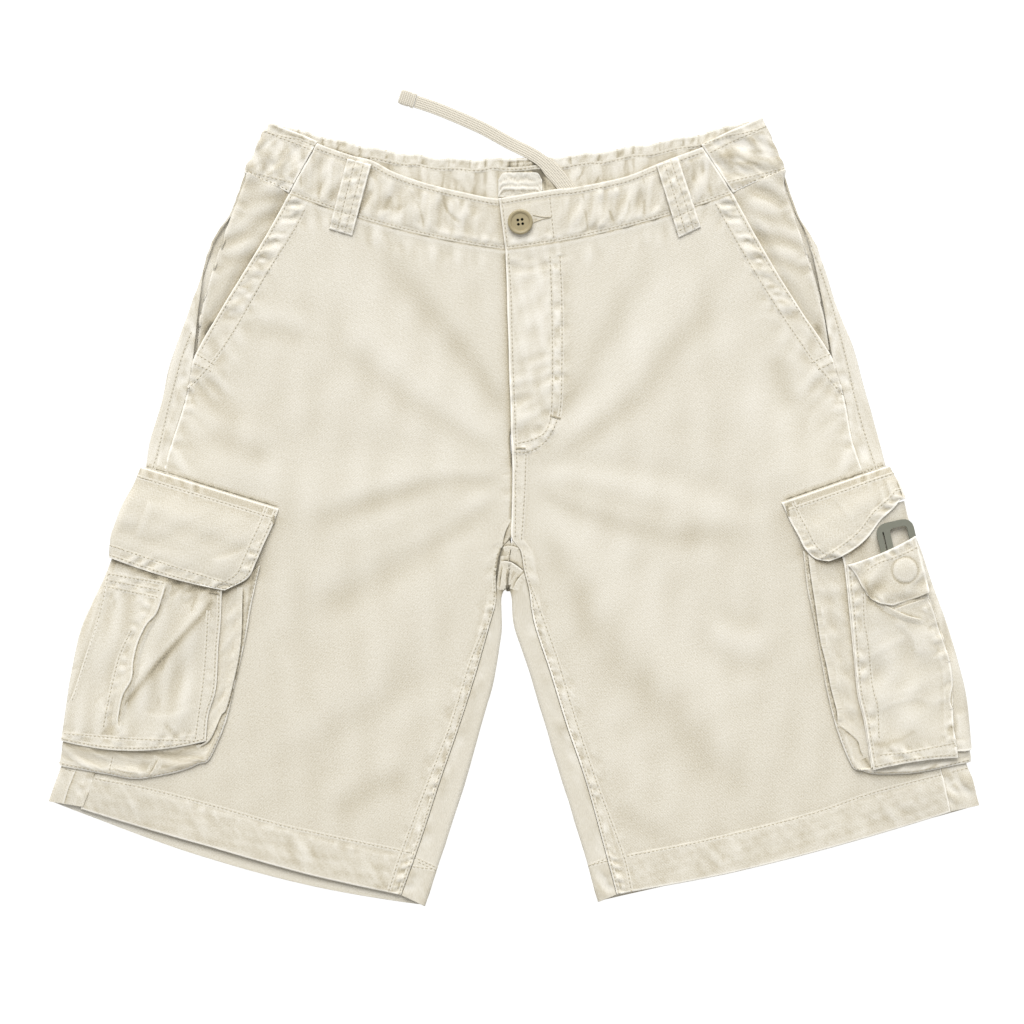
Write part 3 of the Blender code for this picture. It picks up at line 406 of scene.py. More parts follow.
def band_back():
    """The elastic back of the waistband, wrapped round both sides to its joins."""
    under = np.linspace(0, 1, 17)
    low_right = back_line("right", 0, under)
    low_left = back_line("left", 0, under)[::-1]
    low = np.concatenate([low_right, low_left[1:]])
    low[:, 1] += BAND_GAP
    run = run_along(low)
    top = curve_through(BAND_BACK_TOP, run / run[-1])
    turned = {}
    for side in ("right", "left"):
        join_low = np.array(SLASH[side][0], float) + (0, BAND_GAP)
        join_top = np.array(BAND_FRONT_TOP[side][0], float)
        edge_low = np.array(OUTER[side][0][:2], float) + (0, BAND_GAP)
        turned[side] = (join_low, join_top, edge_low, np.array(BAND_CORNER[side], float))
    grid = []
    for t in np.linspace(0, 1, BAND_ROWS):
        middle = low * (1 - t) + top * t
        crimp = 0.9 * t * np.sin(2 * math.pi * run / WAVE)
        middle[:, 1] += crimp * ramp(run, 0, 40) * smoothstep((run[-1] - run) / 40)
        ends = {}
        for side in ("right", "left"):
            join_low, join_top, edge_low, corner = turned[side]
            join = join_low * (1 - t) + join_top * t
            edge = edge_low * (1 - t) + corner * t
            outwards = (edge - join) / np.linalg.norm(edge - join)
            radius = FOLD
            reach = math.pi * radius + np.linalg.norm(edge - join) - radius - SEAM / 2
            full = math.pi * radius
            runs = list(np.linspace(0, full, 5)) + list(np.linspace(full, reach, 5)[1:])
            points = [round_the_edge(edge, outwards, radius, 0.0, BAND_TOP, run) for run in runs]
            ends[side] = np.array(points)
        # the flat stretch starts where the turns leave the table
        first, final = ends["right"][0][:2], ends["left"][0][:2]
        share = (run / run[-1])[:, None]
        shift = (first - middle[0]) * (1 - share) ** 6 + (final - middle[-1]) * share ** 6
        middle = middle + shift
        flat = np.column_stack([middle, np.zeros(len(middle))])
        row = np.concatenate([ends["right"][::-1], flat[1:-1], ends["left"]])
        grid.append(row)
    return np.array(grid)


# columns: corners at the top left, top right, low left and low right
BELT_LOOPS = {
    "right": ((-134.5, 282), (-114, 277), (-149, 226), (-129.5, 220)),
    "left": ((112.5, 276), (131, 282.5), (130.5, 218), (149.5, 227)),
}
# height of the belt loop along its length, from the top edge down
LOOP_HEIGHTS = ((0.0, 8.0), (0.12, 8.5), (0.4, 8.9), (0.62, 8.6), (0.74, 8.3), (0.84, 7.7), (1.0, 6.6))


def belt_loop(side):
    """A flat strap over the waistband, crowned across."""
    top_left, top_right, low_left, low_right = np.array(BELT_LOOPS[side], float)
    grid = []
    for t, height in LOOP_HEIGHTS:
        left = top_left * (1 - t) + low_left * t
        right = top_right * (1 - t) + low_right * t
        row = []
        for s in np.linspace(0, 1, 5):
            crown = 0.25 * (1 - (2 * s - 1) ** 2)
            row.append((*(left * (1 - s) + right * s), height + crown))
        grid.append(row)
    return np.array(grid)


# ---- cargo pockets ----
TURN_STEPS = (0.8, 0.6, 0.4, 0.2, 0.0)      # shares of the half turn round the leg's edge
UNDER_STEPS = (0.35, 0.7, 1.0)              # shares of the reach under the leg


def leg_turn(side):
    return unit(163 if side == "right" else 17)


def wrapped_section(side, front, edge, bow, heights, low, fractions, radius):
    """A section that lies on the leg, turns round its edge and goes in under it."""
    outwards = leg_turn(side)
    front = np.array(front, float)
    edge = np.array(edge, float)
    level = edge - radius * outwards
    plan = bowed(front, level, bow, fractions)
    row = [np.array((x, y, heights(x, y, t))) for (x, y), t in zip(plan, fractions)]
    high = row[-1][2]
    full = math.pi * radius
    runs = [full * t for t in TURN_STEPS] + [-UNDER_REACH * t for t in UNDER_STEPS]
    row += [round_the_edge(edge, outwards, radius, low, high, run) for run in runs]
    return row


STRIP_EDGE = {"right": (0.51, 0.49, 0.53, 0.57, 0.606, 0.634, 0.617)}


def face_fractions(side, k):
    """Columns of the pocket face; two of them stand at the edge of the centre strip."""
    if side == "right":
        strip = STRIP_EDGE[side][k]
        return np.concatenate([np.linspace(0, strip - 0.02, 7), np.linspace(strip, 1, 6)])
    return np.linspace(0, 1, 13)


def face_height(side, k, t):
    """Pocket face over the leg, away from its seams."""
    rise = STANDOFF
    if side == "right":
        strip = STRIP_EDGE[side][k]
        step = 0.7 if k < 2 else 1.0
        rise += step * (t >= strip - 0.001) * (1 - smoothstep((t - strip) / (1.0 - strip)))
        rise += 0.5 * math.sin(math.pi * min(t / strip, 1.0)) * (k > 1)
    else:
        rise += 0.5 * math.sin(math.pi * t)
    return rise - 0.3 * (1 - ramp(t, 0, 0.08))


def pocket_face(side):
    """The outer wall of a cargo pocket, turned round the leg's edge."""
    grid = []
    for k, (fx, fy, ex, ey, bow) in enumerate(POCKET_FACE[side]):
        under_flap = k == 0 or (side == "left" and k == 1)
        low = FLAP_ROOM if under_flap else 0.0
        sunk = 0.4 if side == "left" and under_flap else 0.0

        def heights(x, y, t, k=k, sunk=sunk):
            return float(leg_top(side, x, y)) + face_height(side, k, t) - sunk
        fractions = face_fractions(side, k)
        grid.append(wrapped_section(side, (fx, fy), (ex, ey), bow, heights, low, fractions,
                                    POCKET_TURN))
    return np.array(grid)


FLAP_RISE = {"right": (1.6, 4.0, 5.6, 6.3, 6.4, 6.3), "left": (1.6, 3.2, 4.7, 5.6, 6.0, 6.0)}


def pocket_flap(side):
    """The flap: flat on the leg along its seam, over the pocket's mouth below."""
    grid = []
    for k, (fx, fy, ex, ey, bow) in enumerate(FLAP[side]):
        rise = FLAP_RISE[side][k]

        def heights(x, y, t, rise=rise, k=k):
            front_drop = 1.4 * (1 - ramp(t, 0, 0.2)) * (k > 0)
            return float(leg_top(side, x, y)) + rise - front_drop
        fractions = np.linspace(0, 1, 12)
        grid.append(wrapped_section(side, (fx, fy), (ex, ey), bow, heights, 0.0, fractions, FLAP_TURN))
    return np.array(grid)


def bellows(side, face_grid):
    """The gusset between the pocket face and the leg, folded once along its length."""
    outwards = leg_turn(side)
    front_edge = [face_grid[k][0] for k in range(1, len(face_grid))]
    bottom_edge = list(face_grid[-1][1:])
    inner = np.array(front_edge + bottom_edge)
    attach_plan = curve_through(ATTACH_FRONT[side], np.linspace(0, 1, len(front_edge)))
    outer = [np.array((x, y, float(leg_top(side, x, y)) + SEAM + CLOTH)) for x, y in attach_plan]
    top_count = len(face_fractions(side, len(face_grid) - 1))
    edge = np.array(ATTACH_BOTTOM[side][-1], float)
    radius = BELLOWS_TURN
    route = [attach_plan[-1], *ATTACH_BOTTOM[side][:-1], edge - radius * outwards]
    plan = curve_through(route, np.linspace(0, 1, top_count))
    for x, y in plan[1:]:
        outer.append(np.array((x, y, float(leg_top(side, x, y)) + SEAM + CLOTH)))
    high = outer[-1][2]
    low = float(lift(side, *edge)) - SEAM - CLOTH
    full = math.pi * radius
    runs = [full * t for t in TURN_STEPS] + [-UNDER_REACH * t for t in UNDER_STEPS]
    outer += [round_the_edge(edge, outwards, radius, low, high, run) for run in runs]
    outer = np.array(outer)
    # the inner edge is tucked against the inside of the pocket face
    count = len(front_edge) + top_count - 1
    facing = np.zeros_like(inner)
    facing[:count, 2] = 1.0
    for j, t in enumerate(TURN_STEPS):
        facing[count + j, :2] = outwards * math.sin(math.pi * t)
        facing[count + j, 2] = -math.cos(math.pi * t)
    facing[count + len(TURN_STEPS):, 2] = -1.0
    inner_edge = inner - facing * (CLOTH + SEAM + 0.1)
    on_top = np.ones(len(outer))
    on_top[count:] = 0.0
    on_top[count - 3:count] = (0.8, 0.5, 0.2)
    grid = []
    for t, bump in ((0.0, 0.0), (0.25, 0.0), (0.5, 0.1), (0.76, 1.3), (0.9, 1.0), (1.0, 0.0)):
        row = inner_edge * (1 - t) + outer * t
        row[:, 2] += bump * on_top
        grid.append(row)
    return np.array(grid)


# ---- phone pocket on the wearer's left cargo pocket ----
# one row for each section from its mouth down: front edge, side edge
PHONE_POCKET = ((265.5, -43, 319, -20, 2), (267, -59, 327, -47, 2), (269.5, -80, 330, -67, 2),
                (271.5, -103, 338, -87, 2), (273.5, -127, 345, -110, 2), (276, -148, 349.5, -132, 2),
                (280.5, -166, 350, -152, 1), (283, -182, 350.5, -170, 0),
                (286.5, -203, 353.5, -193, -2))
CUFF = ((265.5, -43, 319.5, -20, 2), (269, -47, 322, -30, 3), (273, -53, 325, -42, 5),
        (277, -60, 328.5, -54, 9), (281, -66, 330.5, -64, 14))
BUMP = (311.0, -47.0)
BUMP_RADIUS = 10.4
CLIP_THICK = 3.2
CLIP_SEAT = 0.35
MOUTH_ROOM = 2 * CLIP_SEAT + CLIP_THICK + CLOTH
# how far the phone pocket stands off the face, by the height of its row at the front edge
PHONE_RISE = ((-210, 1.6), (-166, 1.7), (-148, 2.0), (-127, 2.6), (-103, 3.6), (-84, MOUTH_ROOM))


def face_top(x, y):
    """Outer face of the left cargo pocket under the phone pocket."""
    return float(leg_top("left", x, y)) + STANDOFF + 0.55


def phone_height(x, y):
    """Outer face of the phone pocket: low along its seams, and open beside the clip."""
    front_x = 265.5 - (y + 43) * 0.131
    side_y, side_x = zip(*[(row[3], row[2]) for row in PHONE_POCKET[::-1]])
    side = np.interp(y, side_y, side_x)
    down, rises = zip(*PHONE_RISE)
    full = np.interp(y - 0.35 * (x - front_x), down, rises)
    sewn = float(ramp(y, -64, -24))
    inside = min((x - front_x) / 12, 1.0, (side - x) / 9 * sewn + 1 - sewn)
    return face_top(x, y) + SEAM + CLOTH + (full - SEAM - CLOTH) * float(smoothstep(inside))


def phone_pocket():
    """The small pocket on the left cargo pocket, open at its mouth."""
    grid = []
    for fx, fy, ex, ey, bow in PHONE_POCKET:
        plan = bowed((fx, fy), (ex, ey), bow, np.linspace(0, 1, 11))
        grid.append([(x, y, phone_height(x, y)) for x, y in plan])
    return np.array(grid)


def cuff():
    """The turned-down band at the phone pocket's mouth, over a covered round fastener."""
    grid = []
    for fx, fy, ex, ey, bow in CUFF:
        plan = bowed((fx, fy), (ex, ey), bow, np.linspace(0, 1, 15))
        row = []
        for x, y in plan:
            away = math.hypot(x - BUMP[0], y - BUMP[1])
            dome = 1.0 * float(1 - smoothstep((away - BUMP_RADIUS + 4) / 5))
            row.append((x, y, phone_height(x, y) + SEAM + CLOTH + 0.2 + dome))
        grid.append(row)
    return np.array(grid)


# ---- folds and puckers ----
# slopes of the folds that spread from the crotch, each listed from left to right
# columns: points, half width, slope (above zero where the cloth rises towards the waist), tone painted
# along the fold (below zero painted shade, above it painted light)
SLOPES = (
    (((-117, 231), (-89, 194), (-64, 162), (-38, 130), (-18, 101), (-5, 76)), 8, 0.038, -0.39),
    (((-140, 219), (-114, 173), (-94, 143), (-55, 110), (-22, 80), (-5, 59)), 13, -0.020, 0.1),
    (((-152, 156), (-110, 118), (-81, 93), (-47, 71), (-14, 50)), 9, 0.032, 0),
    (((-249, 71), (-215, 46), (-165, 34), (-114, 38), (-64, 44), (-22, 46)), 13, -0.022, 0.14),
    (((-186, -10), (-152, 0), (-123, 9), (-89, 19), (-55, 27), (-9, 27)), 7, 0.045, -0.15),
    (((-152, -17), (-110, -3), (-55, 9), (-18, 17)), 9, -0.020, 0),
    (((-194, -80), (-148, -63), (-114, -46), (-81, -30), (-51, -13), (-26, 4), (-11, 13)),
     9, 0.050, -0.07),
    (((-215, -147), (-165, -134), (-123, -93), (-89, -59), (-55, -30), (-22, -4)), 19, -0.024, 0),
    (((-211, -209), (-182, -198), (-148, -177), (-114, -151), (-85, -118), (-64, -89)),
     12, 0.024, -0.1),
    (((-169, -210), (-144, -194), (-110, -169), (-77, -147), (-55, -122), (-38, -93)), 13, -0.008, 0.1),
    (((-152, -240), (-131, -227), (-106, -214), (-81, -204)), 8, 0.030, -0.2),
    (((25, 71), (46, 97), (62, 126), (79, 160), (96, 190), (109, 219)), 7, 0.030, -0.31),
    (((25, 54), (54, 80), (79, 110), (96, 139), (113, 173), (134, 210)), 9, -0.014, 0.26),
    (((29, 42), (58, 63), (88, 88), (113, 118), (138, 151), (155, 181), (168, 219)), 8, 0.036, -0.23),
    (((12, 31), (46, 34), (79, 30), (113, 23), (146, 14), (176, 4), (206, -4)), 9, -0.036, 0.18),
    (((20, 17), (46, 4), (71, -4), (105, -13), (138, -17), (176, -14), (210, -9)), 7, 0.032, -0.27),
    (((16, 9), (46, -17), (75, -38), (100, -67), (130, -106), (163, -143), (197, -186), (214, -206)),
     15, -0.010, 0.21),
    (((151, -101), (185, -118), (210, -114)), 7, 0.030, 0),
    (((158, -86), (181, -95), (201, -94)), 6, -0.028, 0.08),
    (((20, -13), (42, -42), (62, -80), (88, -118), (122, -151), (155, -186), (185, -219), (214, -240)),
     12, 0.030, -0.23),
    (((66, -147), (79, -186), (105, -206), (134, -231), (146, -244)), 11, -0.012, 0.11),
    (((79, -231), (96, -244), (122, -257)), 7, 0.030, -0.19),
    (((193, 118), (209, 81), (226, 42), (249, 53)), 14, -0.018, 0.15),
    (((213, 129), (221, 101), (229, 81)), 6, 0.050, -0.25),
    (((-207, 151), (-187, 149), (-165, 143)), 6, 0.050, -0.08),
    (((-245, 71), (-219, 57), (-190, 46)), 7, 0.040, -0.23),
    (((-258, 89), (-239, 77), (-219, 65)), 7, -0.030, -0.25),
)


CROTCH = (-1, 30)       # where the folds run together


def beside(x, y, points):
    """Signed distance to a line of points, positive on its left, and the run along it."""
    points = np.asarray(points, float)
    best = np.full(np.shape(x), 1e9)
    across = np.zeros(np.shape(x))
    along = np.zeros(np.shape(x))
    run = 0.0
    for a, b in zip(points, points[1:]):
        step = b[:2] - a[:2]
        length = math.hypot(*step)
        t = np.clip(((x - a[0]) * step[0] + (y - a[1]) * step[1]) / length ** 2, 0, 1)
        dx, dy = x - a[0] - t * step[0], y - a[1] - t * step[1]
        gap = np.hypot(dx, dy)
        side = np.sign(step[0] * dy - step[1] * dx)
        nearer = gap < best
        best = np.where(nearer, gap, best)
        across = np.where(nearer, gap * np.where(side == 0, 1, side), across)
        along = np.where(nearer, run + t * length, along)
        run += length
    return across, along, run


def slopes(x, y, table):
    """Height of the listed folds, each a slope between a low crest and a low trough, and the shade and
    light painted along each.
    """
    total = np.zeros(np.shape(x))
    painted_light_and_wear = np.zeros(np.shape(x))
    for points, width, slope, tone in table:
        across, along, run = beside(x, y, curve_through(points, np.linspace(0, 1, 12)))
        first, last = (0.12 if math.dist(end, CROTCH) < 60 else 0.32 for end in (points[0], points[-1]))
        ends = ramp(along, -4, first * run) * smoothstep((run - along + 4) / (last * run))
        wide = width * (0.75 + 1.1 * np.clip(np.hypot(x - CROTCH[0], y - CROTCH[1]) / 150, 0, 1))
        part = across / wide
        total += 1.2 * slope * wide * ends * part * np.exp(-part ** 2)
        painted_light_and_wear += tone * ends * np.exp(-((across - 2) / (0.85 * wide)) ** 2)
    return total, painted_light_and_wear


def crumple(x, y, size, seed, stretch=1.0, turn=0.0):
    """An uneven ripple of about one unit, drawn out along the direction `turn`."""
    dice = np.random.default_rng(seed)
    turn = math.radians(turn)
    along = (x * math.cos(turn) + y * math.sin(turn)) / stretch
    over = y * math.cos(turn) - x * math.sin(turn)
    total = np.zeros(np.shape(x))
    for _ in range(12):
        angle, start = dice.uniform(0, 2 * math.pi, 2)
        k = 2 * math.pi / (size * dice.uniform(0.6, 1.7))
        total += np.sin(k * (along * math.cos(angle) + over * math.sin(angle)) + start)
    return total / 2.45


PULL = 1.8              # how strongly the seams are puckered


def puckers(distance, run, length, reach, size, seed, centre=0.0, slant=0.0):
    """Short uneven ripples across a seam, strongest at `centre` from it."""
    ripple = crumple(run + slant * distance, distance, length, seed, 1.0, 0.0)
    drawn = crumple(run + slant * distance, distance / 3.5, length, seed + 500)
    strength = 0.75 + 0.45 * crumple(run, distance, 5 * length, seed + 900)
    return PULL * size * bell(distance, centre, reach) * (0.8 * drawn + 0.25 * ripple) * strength


def band_between(distance, start, end, height):
    """A raised strip between two distances from a seam."""
    return (height * smoothstep((distance - start) / 1.2 + 0.5)
            * smoothstep((end - distance) / 1.2 + 0.5))


def creases(x, y, table):
    """Rolled folds: the cloth on the line's left stands up and falls back over `far`."""
    total = np.zeros(np.shape(x))
    for points, height, near, far in table:
        across, along, run = beside(x, y, curve_through(points, np.linspace(0, 1, 7)))
        ends = smoothstep(along / (0.22 * run)) * smoothstep((run - along) / (0.22 * run))
        profile = smoothstep((across + near) / (2 * near)) * np.exp(-np.maximum(across, 0) / far)
        total += height * ends * profile
    return total


# ---- fine cloth ----
def spline_rows(grid, stops):
    """Rows of a smooth surface through the grid's rows, at fractional row numbers."""
    padded = np.concatenate([[2 * grid[0] - grid[1]], grid, [2 * grid[-1] - grid[-2]]])
    stops = np.asarray(stops, float)
    index = np.minimum(stops.astype(int), len(grid) - 2)
    t = (stops - index)[:, None, None]
    before, here, there, after = (padded[index + k] for k in range(4))
    return 0.5 * (2 * here + (there - before) * t + (2 * before - 5 * here + 4 * there - after) * t ** 2
                  + (3 * here - before - 3 * there + after) * t ** 3)


def line_stops(lengths, count, dense):
    """Fractional line numbers: `count` spread ones and a few close to both borders."""
    last = len(lengths)
    run = np.concatenate([[0], np.cumsum(lengths)])
    places = np.linspace(0, run[-1], 500)
    weight = 1.0 + 2.2 * dense * (np.exp(-(places / 27) ** 4) + np.exp(-((run[-1] - places) / 27) ** 4))
    share = np.concatenate([[0], np.cumsum(weight[1:])])
    spread = np.interp(np.linspace(0, share[-1], count), share, places)
    even = np.interp(spread, run, np.arange(last + 1))
    close = np.array((0.25, 0.6, 1.1, 1.8))
    start = close / max(lengths[0], 1e-6)
    end = last - close / max(lengths[-1], 1e-6)
    stops = np.unique(np.concatenate([even, start, end]))
    return stops[(stops >= 0) & (stops <= last)]


PIECES = {}                 # the fine surface of each piece, and its finished object
MADE = {}
LIFT, SINK = 0.03, 0.35     # the lowest cloth over the table, and how softly it meets it
REACH_PAST = 0.14           # how far a turned border reaches past its solid
# rows and columns of each fine surface
FINENESS = {
    "back": (110, 100), "front": (230, 112), "pocket_facing": (64, 44), "waistband_front": (32, 180),
    "belt_loop": (50, 26), "cargo_pocket": (105, 106), "cargo_flap": (60, 140),
    "cargo_bellows": (28, 240), "waistband_back": (30, 330), "phone_pocket": (120, 70),
    "phone_pocket_cuff": (46, 68), "inner_patch": (30, 60),
}


def smoothed(values, reach):
    """Values averaged over `reach` neighbours each way, along both directions of the grid."""
    for axis in (0, 1):
        count = values.shape[axis]
        run = np.cumsum(np.insert(values, 0, 0.0, axis=axis), axis=axis)
        low = np.clip(np.arange(count) - reach, 0, count)
        high = np.clip(np.arange(count) + reach + 1, 0, count)
        shape = [1, 1]
        shape[axis] = count
        values = (np.take(run, high, axis) - np.take(run, low, axis)) / (high - low).reshape(shape)
    return values


def fine_surface(coarse, rows, columns, shape, turned, faces, probe, grow, dense):
    """The fine outer surface of a piece: points, normals, distances to its four borders."""
    coarse = np.array(coarse, float)
    for border in turned:
        outer, inner = {"left": (np.s_[:, 0], np.s_[:, 1]), "right": (np.s_[:, -1], np.s_[:, -2]),
                        "top": (np.s_[0], np.s_[1]), "bottom": (np.s_[-1], np.s_[-2])}[border]
        way = coarse[outer] - coarse[inner]
        more = grow.get(border, REACH_PAST)
        coarse[outer] += more * way / np.maximum(np.linalg.norm(way, axis=1, keepdims=True), 1e-6)
    row_gaps = np.linalg.norm(np.diff(coarse, axis=0), axis=2).mean(axis=1)
    column_gaps = np.linalg.norm(np.diff(coarse, axis=1), axis=2).mean(axis=0)
    fine = spline_rows(coarse, line_stops(row_gaps, rows, dense))
    fine = spline_rows(fine.transpose(1, 0, 2), line_stops(column_gaps, columns, dense))
    fine = fine.transpose(1, 0, 2)

    def lengths(axis):
        steps = np.linalg.norm(np.diff(fine, axis=axis), axis=2)
        pad = [(0, 0), (0, 0)]
        pad[axis] = (1, 0)
        return np.cumsum(np.pad(steps, pad), axis=axis)
    s = SimpleNamespace(x=fine[:, :, 0], y=fine[:, :, 1], z=fine[:, :, 2])
    s.left, s.top = lengths(1), lengths(0)
    s.right, s.bottom = s.left[:, -1:] - s.left, s.top[-1:] - s.top
    s.u = s.left / np.maximum(s.left[:, -1:], 1e-6)
    s.v = s.top / np.maximum(s.top[-1:], 1e-6)
    s.normal = normals_of(fine)
    i, j = int(probe[0] * (fine.shape[0] - 1)), int(probe[1] * (fine.shape[1] - 1))
    s.flip = (s.normal[i, j, 2] < 0) == (faces == "up")
    if s.flip:
        s.normal = -s.normal
    s.tone = np.zeros(s.x.shape)
    height = shape(s)
    # paler on ridges, from wear and a painted highlight; darker in hollows, from painted shade
    ridge_wear_and_hollow_shade = height - smoothed(smoothed(height, 3), 3)
    s.tone += 1.5 * np.clip(ridge_wear_and_hollow_shade * (-1 if faces == "down" else 1), -0.3, 0.3)
    # turned borders: how far each one rolls over and how much paler its edge is made, by wear and a
    # painted highlight; below zero where another piece is sewn over it, with painted shade along it
    for border, turn in turned.items():
        roll, wear_and_painted_highlight = turn if isinstance(turn, tuple) else (turn, 1.9 * min(1.0, turn / 0.9))
        distance = getattr(s, border)
        inside = np.clip(abs(roll) - distance, 0, abs(roll))
        height -= 0.85 * (abs(roll) - np.sqrt(roll ** 2 - inside ** 2))
        if roll > 0:
            s.tone += wear_and_painted_highlight * bell(distance, 0.8, 0.75)
        else:
            s.tone -= 0.5 * bell(distance, 0, 0.8)
    s.points = fine + s.normal * height[:, :, None]
    low = np.minimum(s.points[:, :, 2] - LIFT, 3.0) / SINK      # the table bears the cloth
    s.points[:, :, 2] += np.log1p(np.exp(low)) * SINK - low * SINK
    s.normal = normals_of(s.points) * (-1 if s.flip else 1)
    s.down = faces == "down"
    return s


def normals_of(points):
    normal = np.cross(np.gradient(points, axis=1), np.gradient(points, axis=0))
    return normal / np.maximum(np.linalg.norm(normal, axis=2, keepdims=True), 1e-9)


def quads_of(rows, columns):
    first = (np.arange(rows - 1)[:, None] * columns + np.arange(columns - 1)[None, :]).ravel()
    return np.stack([first, first + columns, first + columns + 1, first + 1], axis=1)


def mesh_object(name, points, quads, finish, attributes=None, weave=None):
    """A smooth-shaded mesh object from millimetre points."""
    mesh = bpy.data.meshes.new(name)
    mesh.from_pydata((np.asarray(points, float) * MM).tolist(), [],
                     [list(map(int, face)) for face in quads])
    for label, values in (attributes or {}).items():
        layer = mesh.attributes.new(label, "FLOAT", "POINT")
        layer.data.foreach_set("value", np.asarray(values, np.float32).ravel())
    if weave is not None:
        layer = mesh.uv_layers.new(name="weave")
        corners = np.zeros(len(mesh.loops), np.int32)
        mesh.loops.foreach_get("vertex_index", corners)
        layer.data.foreach_set("uv", np.asarray(weave, np.float32)[corners].ravel())
    mesh.shade_smooth()
    mesh.materials.append(finish)
    made = bpy.data.objects.new(name, mesh)
    bpy.context.scene.collection.objects.link(made)
    return made


def apply_modifiers(item):
    """Bake an object's modifiers into its mesh."""
    bpy.ops.object.select_all(action="DESELECT")
    bpy.context.view_layer.objects.active = item
    item.select_set(True)
    for modifier in list(item.modifiers):
        bpy.ops.object.modifier_apply(modifier=modifier.name)
    item.select_set(False)


def sew_piece(name, coarse, shape, turned, wall=CLOTH, finish=None, faces="up", probe=(0.5, 0.5),
              grow=None):
    """A cut piece of cloth: its fine surface, given its thickness, in place of its solid."""
    rows, columns = FINENESS[name.removesuffix("_right").removesuffix("_left")]
    s = fine_surface(coarse, rows, columns, shape, turned, faces, probe, grow or {},
                     name.startswith(("front_", "back_")))
    s.wall = wall
    # painted shade and highlight along the lines of SHADES
    for owner, lines in SHADES.items():
        for points, tone, left, right in lines if name.startswith(owner) else ():
            across, along, run = beside(s.x, s.y, points)
            ends = ramp(along, -1, 5) * smoothstep((run - along + 1) / 5)
            s.tone += tone * np.exp(-np.abs(across) / np.where(across > 0, left, right)) * ends
    quads = quads_of(*s.x.shape)
    if not s.flip:
        quads = quads[:, ::-1]
    weave = np.stack([s.left, s.top], axis=2).reshape(-1, 2)
    made = mesh_object(f"{name}_cloth", s.points.reshape(-1, 3), quads, finish or TWILL,
                       {"tone": s.tone}, weave)
    solid = made.modifiers.new("wall", "SOLIDIFY")
    solid.thickness = wall * MM
    solid.offset = -1
    solid.use_quality_normals = True
    apply_modifiers(made)
    for vertex in made.data.vertices:
        vertex.co.z = max(vertex.co.z, LIFT * MM)
    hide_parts(name)
    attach(made, "root")
    PIECES[name], MADE[name] = s, made


# ---- finishes ----
def add_node(tree, kind, **values):
    """A shader node with its inputs or settings given by name."""
    node = tree.nodes.new(kind)
    for key, value in values.items():
        if key in node.inputs:
            node.inputs[key].default_value = value
        else:
            setattr(node, key, value)
    return node


class Amount:
    """A number that varies over a surface, worked out by shader nodes."""

    def __init__(self, tree, socket):
        self.tree, self.socket = tree, socket

    def join(self, operation, other=0.0, clamp=False):
        """The amount put through a maths node, with a number or another amount."""
        node = add_node(self.tree, "ShaderNodeMath", operation=operation, use_clamp=clamp)
        self.tree.links.new(self.socket, node.inputs[0])
        if isinstance(other, Amount):
            self.tree.links.new(other.socket, node.inputs[1])
        else:
            node.inputs[1].default_value = other
        return Amount(self.tree, node.outputs[0])

    def __add__(self, other):
        return self.join("ADD", other)

    def __sub__(self, other):
        return self.join("SUBTRACT", other)

    def __mul__(self, other):
        return self.join("MULTIPLY", other)


class Finish:
    """A material of one base colour and roughness, to which grain, tint and relief are added."""

    def __init__(self, name, colour, roughness, **sockets):
        self.material = bpy.data.materials.new(name)
        self.material.use_nodes = True
        self.tree = self.material.node_tree
        self.shader = self.tree.nodes["Principled BSDF"]
        self.shader.inputs["Base Color"].default_value = (*colour, 1)
        self.shader.inputs["Roughness"].default_value = roughness
        for label, value in sockets.items():
            self.shader.inputs[label.replace("_", " ")].default_value = value

    def source(self, kind, output=0, **values):
        return add_node(self.tree, kind, **values).outputs[output]

    def place(self):
        return self.source("ShaderNodeTexCoord", "Object")

    def weave(self):
        return self.source("ShaderNodeUVMap", uv_map="weave")

    def noise(self, where, scale, detail=2.0, rough=0.5):
        node = add_node(self.tree, "ShaderNodeTexNoise", Scale=scale, Detail=detail, Roughness=rough)
        self.tree.links.new(where, node.inputs["Vector"])
        return Amount(self.tree, node.outputs["Fac"])

    def wave(self, where, **values):
        node = add_node(self.tree, "ShaderNodeTexWave", **values)
        self.tree.links.new(where, node.inputs["Vector"])
        return Amount(self.tree, node.outputs["Fac"])

    def tint(self, amount, first, *between, last):
        """Colours along a ramp, each stop a place from 0 to 1 and a colour."""
        node = add_node(self.tree, "ShaderNodeValToRGB")
        for stop, (where, colour) in zip(list(node.color_ramp.elements), (first, last)):
            stop.position, stop.color = where, (*colour, 1)
        for where, colour in between:
            node.color_ramp.elements.new(where).color = (*colour, 1)
        self.tree.links.new(amount.socket, node.inputs["Fac"])
        self.tree.links.new(node.outputs["Color"], self.shader.inputs["Base Color"])

    def relief(self, height, depth=1.0):
        """Bumps `depth` millimetres high where the height is one."""
        bump = add_node(self.tree, "ShaderNodeBump", Distance=depth * MM)
        self.tree.links.new(height.socket, bump.inputs["Height"])
        self.tree.links.new(bump.outputs["Normal"], self.shader.inputs["Normal"])


def shaded(colour, factor):
    return tuple(min(1.0, part * factor) for part in colour)


